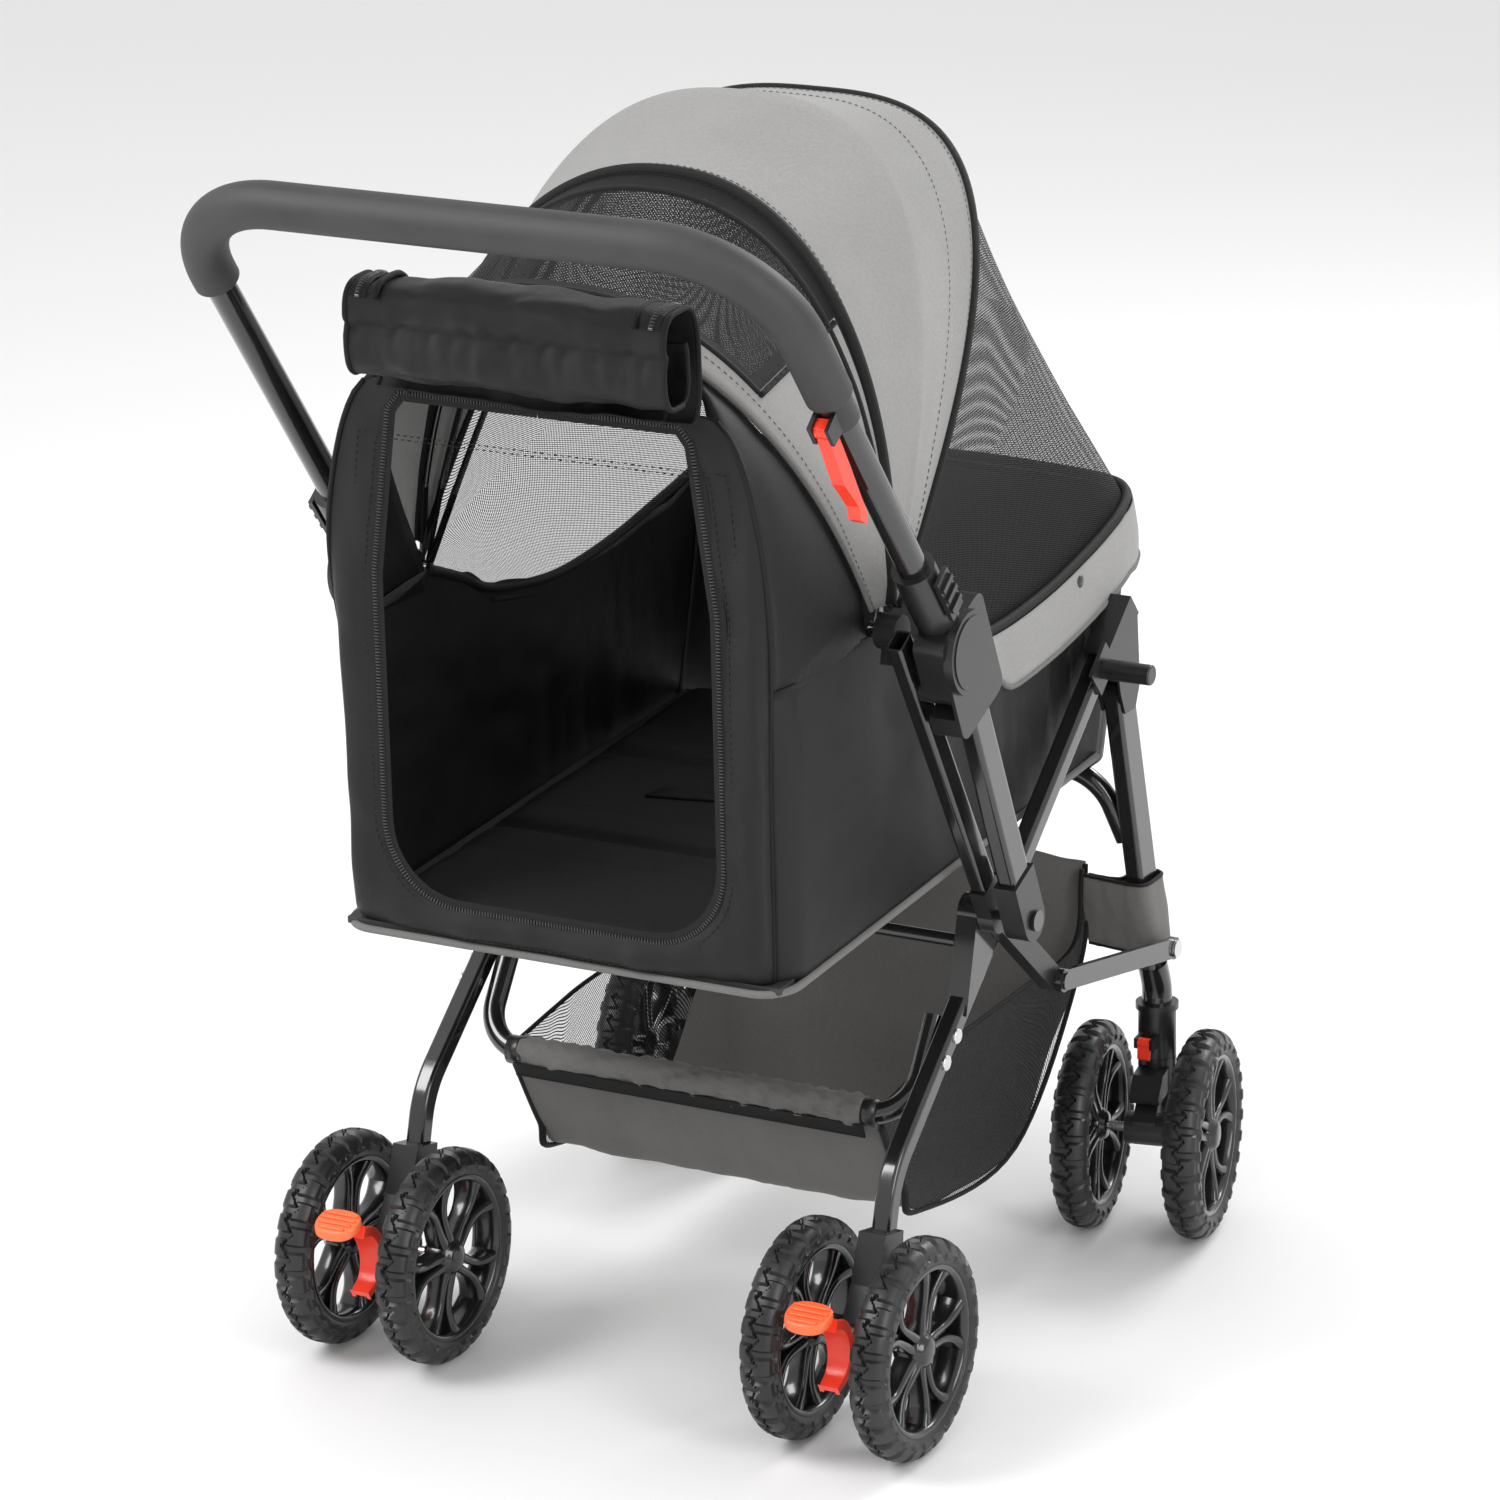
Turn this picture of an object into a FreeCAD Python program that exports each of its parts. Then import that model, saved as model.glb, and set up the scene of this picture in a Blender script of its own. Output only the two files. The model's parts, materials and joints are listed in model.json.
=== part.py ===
import FreeCAD, Part
import math
import os

# Folding pet stroller.  Millimetres.  +Y is the direction of travel, +X the right-hand side, +Z up.
# Everything is laid out from the rear axle (y = 0) and the floor (z = 0), then moved along Y on
# saving so that the origin is the middle of the footprint.
V = FreeCAD.Vector
ORIGIN_Y = -179.3

# ---------------------------------------------------------------- wheels
WHEEL_RADIUS = 82.5
TYRE_WIDTH = 29.0
RIM_RADIUS = 63.6
RIM_WIDTH = 24.0
RIM_WALL = 5.5
HUB_RADIUS = 14.0
HUB_WIDTH = 27.0
SPOKE_COUNT = 5
SPOKE_SPREAD = 13.0
SPOKE_WIDTH = 6.0
SPOKE_DEPTH = 14.0
PAIR_SPACING = 89.0
WHEELBASE = 460.0
AXLE_RADIUS = 4.0
RUNNING = 0.05
HOUSING_HALF_WIDTH = 16.0

# ---------------------------------------------------------------- layers across the width
LEG_X = 199.0
LEG_WIDTH = 15.0
UPRIGHT_X = 215.0
UPRIGHT_WIDTH = 13.0
LINK_X = 225.0
LINK_WIDTH = 5.0
HANDLE_X = 240.0
HANDLE_WIDTH = 15.0
TUBE_WALL = 1.5
TUBE_CORNER = 3.5

# ---------------------------------------------------------------- frame geometry, as (y, z)
UPRIGHT_PIVOT = (190.0, 350.0)
FRONT_LEG_PIVOT = (437.0, 449.5)
CRANK_PIN = (284.0, 268.0)
LINK_PIN = (478.0, 230.0)
REAR_LEG_ROUTE = [(34.0, 128.0), (51.0, 190.0), (443.0, 515.0)]
REAR_LEG_DEPTH = 16.0
REAR_LEG_BEND = 70.0
FRONT_LEG_DEPTH = 28.0
FRONT_LEG_FOOT = (483.0, 214.0)
UPRIGHT_ANGLE = 119.7
UPRIGHT_DEPTH = 20.0
UPRIGHT_REACH = 288.0
HANDLE_ANGLE = 113.3
HANDLE_DEPTH = 26.0
PEG_REACH = 239.0
PEG_RADIUS = 8.0
PEG_TIP_X = 250.0
FRONT_PEG_ANGLE = 33.3
PIN_RADIUS = 4.0

# ---------------------------------------------------------------- casters
CASTER_X = 205.0
CASTER_Y = 492.0
CASTER_TRAIL = 32.0
CASTER_TURN = 11.0
STEM_RADIUS = 6.0
STEM_TOP = 174.0
SOCKET_RADIUS = 15.0
SOCKET_BOTTOM = 134.0
SOCKET_TOP = 178.0
STEM_TUBE_RADIUS = 12.0
LOCK_Z = 150.0
LOCK_PIN_OFFSET = 22.0
LOCK_HALF_WIDTH = 5.0
LOCK_PIN_RADIUS = 2.0

# ---------------------------------------------------------------- handle
BAR_RADIUS = 11.0
GRIP_RADIUS = 17.0
BAR_JOINT = (96.0, 568.0)
BAR_CORNER = (-171.0, 927.0)
BAR_BEND = 85.0
GRIP_RUN_RIGHT = 140.0
GRIP_RUN_LEFT = 90.0

# ---------------------------------------------------------------- cabin, canopy and basket
CABIN_HALF = 183.0
PANEL = 3.0
CABIN_REAR_Y = -76.0
FLOOR_REAR = (-73.0, 367.0)
FLOOR_FRONT = (440.0, 396.0)
BOARD = 5.0
PAD = 12.0
REAR_PANEL_TOP = 785.0
REAR_PANEL_TOP_HALF = 134.0
REAR_PANEL_SHOULDER = 590.0
DOOR_HALF = 139.0
DOOR_BOTTOM = 396.0
DOOR_TOP = 775.0
DOOR_TOP_HALF = 122.0
DOOR_CORNER = 60.0
FRONT_CORNER = 50.0
FRONT_TOP = (482.0, 578.0)
FRONT_BOTTOM = (433.0, 396.0)
CANOPY_PIVOT = (65.0, 600.0)
CANOPY_SKIN = 2.5
CANOPY_ROOT = 22.0
RIB_RADIUS = 2.5
RIB_GAP = 1.8
RIB_ROOT = 60.0
ARM_THICKNESS = 2.2
ARM_SPACING = 2.6
FRONT_ARM_X = 183.8
CANOPY_PIN_RADIUS = 3.0
BASKET_HALF = 159.0
BASKET_PROFILE = [(115.0, 196.0), (168.0, 107.0), (335.0, 100.0), (455.0, 216.0), (464.0, 296.0)]
BASKET_RIM = [(456.0, 294.0), (440.0, 232.0), (231.0, 226.0), (128.0, 212.0)]
DOOR_ROLL = (-121.0, 133.0)
LATCH_SHIFT = 6.0
DISC_REACH = 266.0
DISC_SHIFT = 12.0

# half width, height, squareness and tilt of each hoop line of the canopy
HEM = (190.0, 289.0, 2.45, 121.0)
REAR_HOOP = (198.0, 309.0, 2.2, 82.0)
MIDDLE_HOOP = (198.0, 378.0, 2.6, 64.5)
FRONT_HOOP = (198.0, 420.0, 3.0, 49.4)
MESH_HOOP = (181.3, 407.0, 3.0, 49.4)


# ================================================================ helpers
def on_x(x, point):
    """Point in the plane at x from a (y, z) pair."""
    return V(x, point[0], point[1])


def polar(centre, radius, angle):
    """(y, z) at a distance and an angle, measured from +Y towards +Z."""
    turn = math.radians(angle)
    return (centre[0] + radius * math.cos(turn), centre[1] + radius * math.sin(turn))


def along(start, end, distance):
    """(y, z) at a distance from start towards end."""
    length = math.hypot(end[0] - start[0], end[1] - start[1])
    share = distance / length
    return (start[0] + (end[0] - start[0]) * share, start[1] + (end[1] - start[1]) * share)


def rod(start, end, radius):
    axis = end - start
    return Part.makeCylinder(radius, axis.Length, start, axis)


def cross_rod(x_low, x_high, point, radius):
    return rod(on_x(x_low, point), on_x(x_high, point), radius)


def block(x_low, x_high, points):
    """Prism across the width whose outline is a list of (y, z)."""
    corners = [on_x(x_low, point) for point in points]
    outline = Part.makePolygon(corners + [corners[0]])
    return Part.Face(outline).extrude(V(x_high - x_low, 0, 0))


def slab(x_low, x_high, start, end, half_depth):
    """Rectangular bar in the side plane from start to end."""
    length = math.hypot(end[0] - start[0], end[1] - start[1])
    across = (-(end[1] - start[1]) / length * half_depth, (end[0] - start[0]) / length * half_depth)
    outline = [
        (start[0] + across[0], start[1] + across[1]),
        (end[0] + across[0], end[1] + across[1]),
        (end[0] - across[0], end[1] - across[1]),
        (start[0] - across[0], start[1] - across[1]),
    ]
    return block(x_low, x_high, outline)


def bent_wire(points, radius):
    """Straight runs through the points, joined by tangent arcs of one radius."""
    edges = []
    last = points[0]
    for before, corner, after in zip(points, points[1:], points[2:]):
        incoming = (corner - before).normalize()
        outgoing = (after - corner).normalize()
        turn = incoming.getAngle(outgoing)
        setback = radius * math.tan(turn / 2)
        start = corner - incoming * setback
        end = corner + outgoing * setback
        inward = (outgoing - incoming).normalize()
        rise = radius / math.cos(turn / 2) - radius
        edges.append(Part.LineSegment(last, start).toShape())
        edges.append(Part.Arc(start, corner + inward * rise, end).toShape())
        last = end
    edges.append(Part.LineSegment(last, points[-1]).toShape())
    return Part.Wire(edges)


def round_sweep(path, radius, curved=False):
    """Round bar along a path; curved is for a single smooth curve without straight runs."""
    start = path.Edges[0].Vertexes[0].Point
    toward = path.Edges[0].tangentAt(path.Edges[0].FirstParameter)
    section = Part.Wire([Part.makeCircle(radius, start, toward)])
    return path.makePipeShell([section], True, curved)


def flat_sweep(path, width, depth, corner):
    """Rounded rectangle swept along a path in the side plane: width along X, depth across the path."""
    start = path.Edges[0].Vertexes[0].Point
    toward = path.Edges[0].tangentAt(path.Edges[0].FirstParameter).normalize()
    side = V(1, 0, 0)
    across = toward.cross(side).normalize()
    half_w = width / 2
    half_d = depth / 2
    corners = [
        start + side * half_w + across * half_d,
        start - side * half_w + across * half_d,
        start - side * half_w - across * half_d,
        start + side * half_w - across * half_d,
    ]
    face = Part.Face(Part.makePolygon(corners + [corners[0]]))
    bar = face.extrude(toward * 4 * corner)
    edges = [e for e in bar.Edges if abs(e.tangentAt(e.FirstParameter).normalize().dot(toward)) > 0.99]
    rounded = bar.makeFillet(corner, edges)
    ends = sorted(rounded.Faces, key=lambda f: (f.CenterOfMass - start).Length)
    section = ends[0].OuterWire
    return path.makePipeShell([section], True, False)


def hollow_flat(path, width, depth):
    outer = flat_sweep(path, width, depth, TUBE_CORNER)
    inner = flat_sweep(path, width - 2 * TUBE_WALL, depth - 2 * TUBE_WALL, TUBE_CORNER - TUBE_WALL)
    return outer.cut(inner)


def hollow_round(path, radius):
    return round_sweep(path, radius).cut(round_sweep(path, radius - TUBE_WALL))


def solid_from(faces):
    """One closed solid from faces that share their borders."""
    skin = Part.makeCompound(faces)
    skin.sewShape(0.001)
    shell = skin if skin.ShapeType == "Shell" else Part.Shell(skin.Faces)
    body = Part.Solid(shell)
    if body.Volume < 0:
        body.reverse()
    return body


def ribbon(outer, inner):
    """Skin between matching lists of open curves: ruled outside, ruled inside, closed at its borders."""
    faces = []
    for curves in (outer, inner):
        for first, second in zip(curves, curves[1:]):
            faces.append(Part.makeRuledSurface(first, second))
    faces.append(Part.makeRuledSurface(outer[0], inner[0]))
    faces.append(Part.makeRuledSurface(outer[-1], inner[-1]))
    for end in (0, -1):
        for index in range(len(outer) - 1):
            near_outer = outer[index].Vertexes[end].Point
            far_outer = outer[index + 1].Vertexes[end].Point
            near_inner = inner[index].Vertexes[end].Point
            far_inner = inner[index + 1].Vertexes[end].Point
            top = Part.LineSegment(near_outer, far_outer).toShape()
            bottom = Part.LineSegment(near_inner, far_inner).toShape()
            faces.append(Part.makeRuledSurface(top, bottom))
    return solid_from(faces)


def smooth(points):
    curve = Part.BSplineCurve()
    curve.interpolate(points)
    return curve.toShape()


def mirrored(shape):
    return shape.mirror(V(0, 0, 0), V(1, 0, 0))


def pair(shape):
    return Part.makeCompound([shape, mirrored(shape)])


def rivet(x_low, x_high, point, radius=3.0, head=6.0, rise=2.0):
    """Shank through a tube with a domed head standing on its outer face."""
    shank = cross_rod(x_low, x_high, point, radius)
    dome = cross_rod(x_high, x_high + rise, point, head)
    return shank.fuse(dome.makeFillet(rise * 0.6, [dome.Edges[0]])).removeSplitter()


def save(name, shape):
    placed = shape.copy()
    placed.translate(V(0, ORIGIN_Y, 0))
    placed.exportStep("parts/" + name + ".step")


# ================================================================ wheels
def tyre_at(x, y):
    half = TYRE_WIDTH / 2
    seat = RIM_WIDTH / 2
    profile = Part.makePolygon([
        V(-seat, RIM_RADIUS, 0),
        V(-half, RIM_RADIUS + 5, 0),
        V(-half, WHEEL_RADIUS - 8, 0),
        V(-half + 5, WHEEL_RADIUS - 2, 0),
        V(-half + 9, WHEEL_RADIUS, 0),
        V(half - 9, WHEEL_RADIUS, 0),
        V(half - 5, WHEEL_RADIUS - 2, 0),
        V(half, WHEEL_RADIUS - 8, 0),
        V(half, RIM_RADIUS + 5, 0),
        V(seat, RIM_RADIUS, 0),
        V(-seat, RIM_RADIUS, 0),
    ])
    ring = Part.Face(profile).revolve(V(0, 0, 0), V(1, 0, 0), 360)
    ring.translate(V(x, y, WHEEL_RADIUS))
    return ring


def rim_at(x, y):
    """Rim ring, hub and five twin spokes."""
    band = Part.makeCylinder(RIM_RADIUS, RIM_WIDTH, V(-RIM_WIDTH / 2, 0, 0), V(1, 0, 0))
    band = band.cut(Part.makeCylinder(RIM_RADIUS - RIM_WALL, RIM_WIDTH, V(-RIM_WIDTH / 2, 0, 0), V(1, 0, 0)))
    rim = band.fuse(Part.makeCylinder(HUB_RADIUS, HUB_WIDTH, V(-HUB_WIDTH / 2, 0, 0), V(1, 0, 0)))
    reach = RIM_RADIUS - RIM_WALL / 2
    for index in range(SPOKE_COUNT):
        for offset in (-SPOKE_SPREAD, SPOKE_SPREAD):
            spoke = Part.makeBox(SPOKE_DEPTH, SPOKE_WIDTH, reach, V(-SPOKE_DEPTH / 2, -SPOKE_WIDTH / 2, 0))
            spoke.rotate(V(0, 0, 0), V(1, 0, 0), 360 / SPOKE_COUNT * index + offset)
            rim = rim.fuse(spoke)
    rim.translate(V(x, y, WHEEL_RADIUS))
    return rim.removeSplitter()


def axle_at(x, y, half_length):
    return Part.makeCylinder(AXLE_RADIUS, 2 * half_length, V(x - half_length, y, WHEEL_RADIUS), V(1, 0, 0))


def wheel_pair(name, x, y, stem):
    """Two wheels keyed to one axle; a caster's pair is turned about its stem."""
    axle = axle_at(x, y, PAIR_SPACING / 2 + HUB_WIDTH / 2 - 4)
    tyres = []
    rims = []
    for offset in (-PAIR_SPACING / 2, PAIR_SPACING / 2):
        tyres.append(tyre_at(x + offset, y))
        rims.append(rim_at(x + offset, y).cut(axle))
    pieces = {"tyres_" + name: Part.makeCompound(tyres), "rims_" + name: Part.makeCompound(rims)}
    pieces["axle_" + name] = axle
    for node, shape in pieces.items():
        if stem is not None:
            shape.rotate(stem, V(0, 0, 1), CASTER_TURN)
        save(node, shape)


# ================================================================ rear legs
def rear_leg_path(x):
    return bent_wire([on_x(x, point) for point in REAR_LEG_ROUTE], REAR_LEG_BEND)


def leg_height(y):
    """Height of the straight part of a rear leg's centre line."""
    low = REAR_LEG_ROUTE[1]
    top = REAR_LEG_ROUTE[2]
    return low[1] + (y - low[0]) * (top[1] - low[1]) / (top[0] - low[0])


def rear_leg():
    tube = hollow_flat(rear_leg_path(LEG_X), LEG_WIDTH, REAR_LEG_DEPTH)
    return tube.cut(Part.makeCompound(frame_rivets()))


def rear_leg_envelope():
    return flat_sweep(rear_leg_path(LEG_X), LEG_WIDTH, REAR_LEG_DEPTH, TUBE_CORNER)


def rear_axle_housing():
    """Plastic block between the two rear wheels with the socket that takes the leg."""
    low = LEG_X - 11
    high = LEG_X + 11
    boss = cross_rod(LEG_X - HOUSING_HALF_WIDTH, LEG_X + HOUSING_HALF_WIDTH, (0, WHEEL_RADIUS), 15)
    web = block(low, high, [(-14, 84), (12, 70), (46, 118), (50, 150), (22, 156), (8, 120)])
    shoe = rear_leg_envelope()
    body = boss.fuse(web).cut(shoe).fuse(brake_bracket())
    bore = cross_rod(LEG_X - 20, LEG_X + 20, (0, WHEEL_RADIUS), AXLE_RADIUS + RUNNING)
    return body.cut(bore).removeSplitter()


def brake_pedal(side):
    """Foot pedal between the rear wheels: pad, curved body and the boss it tilts on."""
    x = side * LEG_X
    pad = block(x - 19, x + 19, [(-82, 128), (-78, 133), (-40, 112), (-43, 105), (-76, 119)])
    pad = pad.makeFillet(1.5, [e for e in pad.Edges if e.Length > 30])
    stalk = block(x - 9, x + 9, [(-58, 114), (-46, 108), (-26, 88), (-22, 66), (-32, 60), (-38, 84)])
    boss = cross_rod(x - 12, x + 12, (-27, 66), 8)
    body = pad.fuse(stalk).fuse(boss)
    return body.cut(cross_rod(x - 13, x + 13, (-27, 66), 3 + RUNNING)).removeSplitter()


def brake_bracket():
    """Ears of the axle housing that carry the pedal's pin."""
    pieces = []
    for low in (LEG_X - 15.5, LEG_X + 12.5):
        ear = block(low, low + 3, [(-34, 60), (-20, 58), (10, 72), (8, 92), (-12, 88)])
        pieces.append(ear)
    pin = cross_rod(LEG_X - 15.5, LEG_X + 15.5, (-27, 66), 3)
    return pieces[0].fuse(pieces[1]).fuse(pin)


# ================================================================ hinge brackets and pegs on the rear legs
def upright_bracket():
    """Riser on the rear leg whose bolt carries the upright and the handle leg."""
    low = LEG_X - LEG_WIDTH / 2
    high = UPRIGHT_X - UPRIGHT_WIDTH / 2 - 0.4
    base_rear = 158.0
    base_front = 226.0
    riser = block(low, high, [
        (base_rear, leg_height(base_rear)),
        (base_front, leg_height(base_front)),
        (UPRIGHT_PIVOT[0] + 13, UPRIGHT_PIVOT[1]),
        (UPRIGHT_PIVOT[0] - 13, UPRIGHT_PIVOT[1]),
    ])
    riser = riser.fuse(cross_rod(low, high, UPRIGHT_PIVOT, 13))
    riser = riser.cut(rear_leg_envelope())
    bolt = cross_rod(low, HANDLE_X + 11, UPRIGHT_PIVOT, PIN_RADIUS)
    head = cross_rod(HANDLE_X + 9.6, HANDLE_X + 12.2, UPRIGHT_PIVOT, 8)
    return riser.fuse(bolt).fuse(head).removeSplitter()


def front_hinge_bracket():
    """Cap on the top of the rear leg with two ears that hold the front leg."""
    low = LEG_X - LEG_WIDTH / 2 - 2.7
    high = LEG_X + LEG_WIDTH / 2 + 2.7
    top = REAR_LEG_ROUTE[2]
    cap = slab(low, high, along(top, REAR_LEG_ROUTE[1], 52), along(top, REAR_LEG_ROUTE[1], -3), 11)
    ears = block(low, high, [
        (along(top, REAR_LEG_ROUTE[1], 40)[0], along(top, REAR_LEG_ROUTE[1], 40)[1] - 6),
        (450, 508),
        (454, 452),
        (FRONT_LEG_PIVOT[0] + 9, 434),
        (FRONT_LEG_PIVOT[0] - 9, 434),
        (420, 452),
    ])
    body = cap.fuse(ears).cut(rear_leg_envelope()).cut(front_latch_peg())
    slot_low = LEG_X - LEG_WIDTH / 2 - 0.4
    slot_high = LEG_X + LEG_WIDTH / 2 + 0.9
    slot = block(slot_low, slot_high, [(390, 420), (475, 420), (475, 468), (425, 468), (390, 440)])
    body = body.cut(slot)
    return body.fuse(cross_rod(low, high, FRONT_LEG_PIVOT, PIN_RADIUS)).removeSplitter()


def front_latch_peg():
    """Rubber-covered peg near the top of the rear leg that the reversed handle hooks on."""
    seat = polar(UPRIGHT_PIVOT, PEG_REACH, FRONT_PEG_ANGLE)
    face = LEG_X + LEG_WIDTH / 2
    plate = slab(face, face + 3, along(seat, REAR_LEG_ROUTE[1], 16), along(seat, REAR_LEG_ROUTE[1], -16), 13)
    pin = cross_rod(face, PEG_TIP_X, seat, PEG_RADIUS)
    pin = pin.makeFillet(1.5, [e for e in pin.Edges if e.CenterOfMass.x > PEG_TIP_X - 1 and e.Closed])
    return plate.fuse(pin)


def frame_rivets():
    outer = LEG_X + LEG_WIDTH / 2
    inner = LEG_X - LEG_WIDTH / 2
    return [rivet(inner, outer, (y, leg_height(y))) for y in (127.0, 145.0)]


# ================================================================ basket bar and cross rod
def basket_bar():
    """Bent tube between the rear legs that holds the rear rim of the basket."""
    inset = LEG_X - LEG_WIDTH / 2 - 9.0
    route = [V(inset, 158, 275), V(inset, 113, 209), V(-inset, 113, 209), V(-inset, 158, 275)]
    return hollow_round(bent_wire(route, 34), 8.5)


def cross_rod_piece():
    reach = LEG_X - LEG_WIDTH / 2
    return cross_rod(-reach, reach, (176, 330), 5)


# ================================================================ uprights, crank and link
def upright():
    start = polar(UPRIGHT_PIVOT, 34, UPRIGHT_ANGLE)
    end = polar(UPRIGHT_PIVOT, UPRIGHT_REACH, UPRIGHT_ANGLE)
    path = Part.makePolygon([on_x(UPRIGHT_X, start), on_x(UPRIGHT_X, end)])
    return hollow_flat(path, UPRIGHT_WIDTH, UPRIGHT_DEPTH)


def upright_foot():
    """Plastic end fitting: socket for the upright, pivot bore and the crank arm to the link."""
    low = UPRIGHT_X - UPRIGHT_WIDTH / 2
    high = UPRIGHT_X + UPRIGHT_WIDTH / 2
    stop = polar(UPRIGHT_PIVOT, 33.8, UPRIGHT_ANGLE)
    body = slab(low, high, UPRIGHT_PIVOT, stop, 12)
    body = body.fuse(cross_rod(low, high, UPRIGHT_PIVOT, 14))
    body = body.fuse(slab(low, high - 1, UPRIGHT_PIVOT, CRANK_PIN, 9))
    body = body.fuse(cross_rod(low, LINK_X - LINK_WIDTH / 2 - 0.3, CRANK_PIN, 9))
    return body.cut(cross_rod(low - 1, high + 1, UPRIGHT_PIVOT, PIN_RADIUS + RUNNING)).removeSplitter()


def rear_latch_peg():
    seat = polar(UPRIGHT_PIVOT, PEG_REACH, UPRIGHT_ANGLE)
    return cross_rod(UPRIGHT_X + UPRIGHT_WIDTH / 2, PEG_TIP_X, seat, PEG_RADIUS)


def canopy_pivot():
    """Side fitting that carries the canopy hoops, standing inward from the top of the upright."""
    low = 191.6
    high = UPRIGHT_X - UPRIGHT_WIDTH / 2
    hub = cross_rod(low, high, CANOPY_PIVOT, 13)
    arm = slab(low + 6, high, CANOPY_PIVOT, polar(UPRIGHT_PIVOT, 262, UPRIGHT_ANGLE), 9)
    pin = cross_rod(FRONT_ARM_X, low, CANOPY_PIVOT, CANOPY_PIN_RADIUS)
    return hub.fuse(arm).fuse(pin).removeSplitter()


def fold_link():
    low = LINK_X - LINK_WIDTH / 2
    high = LINK_X + LINK_WIDTH / 2
    bar = slab(low, high, CRANK_PIN, LINK_PIN, 8)
    bar = bar.fuse(cross_rod(low, high, CRANK_PIN, 9)).fuse(cross_rod(low, high, LINK_PIN, 9))
    bar = bar.fuse(cross_rod(high, high + 2.5, CRANK_PIN, 7))
    return bar.cut(cross_rod(low - 1, high + 1, LINK_PIN, PIN_RADIUS + RUNNING)).removeSplitter()


# ================================================================ front legs
def front_leg_path():
    return Part.makePolygon([on_x(LEG_X, FRONT_LEG_PIVOT), on_x(CASTER_X, FRONT_LEG_FOOT)])


def front_leg():
    """Flat-sided leg from the hinge down to the round stem tube that is welded into its foot."""
    body = hollow_flat(front_leg_path(), LEG_WIDTH, FRONT_LEG_DEPTH)
    body = body.fuse(front_stem_tube())
    end = cross_rod(LEG_X - LEG_WIDTH / 2, LEG_X + LEG_WIDTH / 2, FRONT_LEG_PIVOT, FRONT_LEG_DEPTH / 2)
    body = body.fuse(end)
    bore = cross_rod(LEG_X - 20, LEG_X + 20, FRONT_LEG_PIVOT, PIN_RADIUS + RUNNING)
    return body.cut(bore).cut(front_leg_pin()).removeSplitter()


def front_stem_tube():
    """Round tube under the flat leg that runs down into the caster socket, bored for the stem."""
    foot = V(CASTER_X, CASTER_Y, SOCKET_BOTTOM + 6)
    route = [on_x(CASTER_X, FRONT_LEG_FOOT), V(CASTER_X, CASTER_Y, 192), foot]
    return round_sweep(bent_wire(route, 40), STEM_TUBE_RADIUS).cut(stem_rod(STEM_RADIUS + RUNNING, 2))


def stem_rod(radius, longer):
    low = V(CASTER_X, CASTER_Y, SOCKET_BOTTOM - 6)
    return rod(low, V(CASTER_X, CASTER_Y, STEM_TOP + longer), radius)


def front_leg_pin():
    low = CASTER_X - LEG_WIDTH / 2
    shank = cross_rod(low, LINK_X + LINK_WIDTH / 2 + 0.3, LINK_PIN, PIN_RADIUS)
    collar = cross_rod(CASTER_X + LEG_WIDTH / 2 - 0.5, LINK_X - LINK_WIDTH / 2 - 0.3, LINK_PIN, 8)
    head = cross_rod(LINK_X + LINK_WIDTH / 2 + 0.3, LINK_X + LINK_WIDTH / 2 + 2.8, LINK_PIN, 7)
    return shank.fuse(collar).fuse(head).removeSplitter()


def front_cross_brace():
    inset = CASTER_X - LEG_WIDTH / 2 - 2.5
    route = [V(inset, 457, 322), V(175, 449, 376), V(-175, 449, 376), V(-inset, 457, 322)]
    envelope = flat_sweep(front_leg_path(), LEG_WIDTH, FRONT_LEG_DEPTH, TUBE_CORNER)
    return hollow_round(bent_wire(route, 42), 8).cut(pair(envelope))


def caster_socket():
    """Plastic collar at the foot of the front leg with the bore for the caster stem."""
    body = rod(V(CASTER_X, CASTER_Y, SOCKET_BOTTOM), V(CASTER_X, CASTER_Y, SOCKET_TOP), SOCKET_RADIUS)
    body = body.fuse(rod(V(CASTER_X, CASTER_Y, SOCKET_TOP - 5), V(CASTER_X, CASTER_Y, SOCKET_TOP), 17))
    pin_y = CASTER_Y - LOCK_PIN_OFFSET
    outer = LOCK_HALF_WIDTH + 3
    gap = LOCK_HALF_WIDTH + 0.3
    ears = block(CASTER_X - outer, CASTER_X + outer, [
        (CASTER_Y - 12, LOCK_Z - 6),
        (CASTER_Y - 12, LOCK_Z + 6),
        (pin_y - 4, LOCK_Z + 4),
        (pin_y - 4, LOCK_Z - 4),
    ])
    ears = ears.cut(block(CASTER_X - gap, CASTER_X + gap, [
        (pin_y - 6, LOCK_Z - 9),
        (pin_y - 6, LOCK_Z + 9),
        (CASTER_Y - SOCKET_RADIUS - 0.9, LOCK_Z + 9),
        (CASTER_Y - SOCKET_RADIUS - 0.9, LOCK_Z - 9),
    ]))
    pin = cross_rod(CASTER_X - outer, CASTER_X + outer, (pin_y, LOCK_Z), LOCK_PIN_RADIUS)
    body = body.fuse(ears).fuse(pin)
    tube = rod(V(CASTER_X, CASTER_Y, SOCKET_BOTTOM + 6), V(CASTER_X, CASTER_Y, SOCKET_TOP + 20), STEM_TUBE_RADIUS)
    body = body.cut(tube).cut(stem_rod(STEM_RADIUS + RUNNING, 2))
    return body.removeSplitter()


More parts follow.
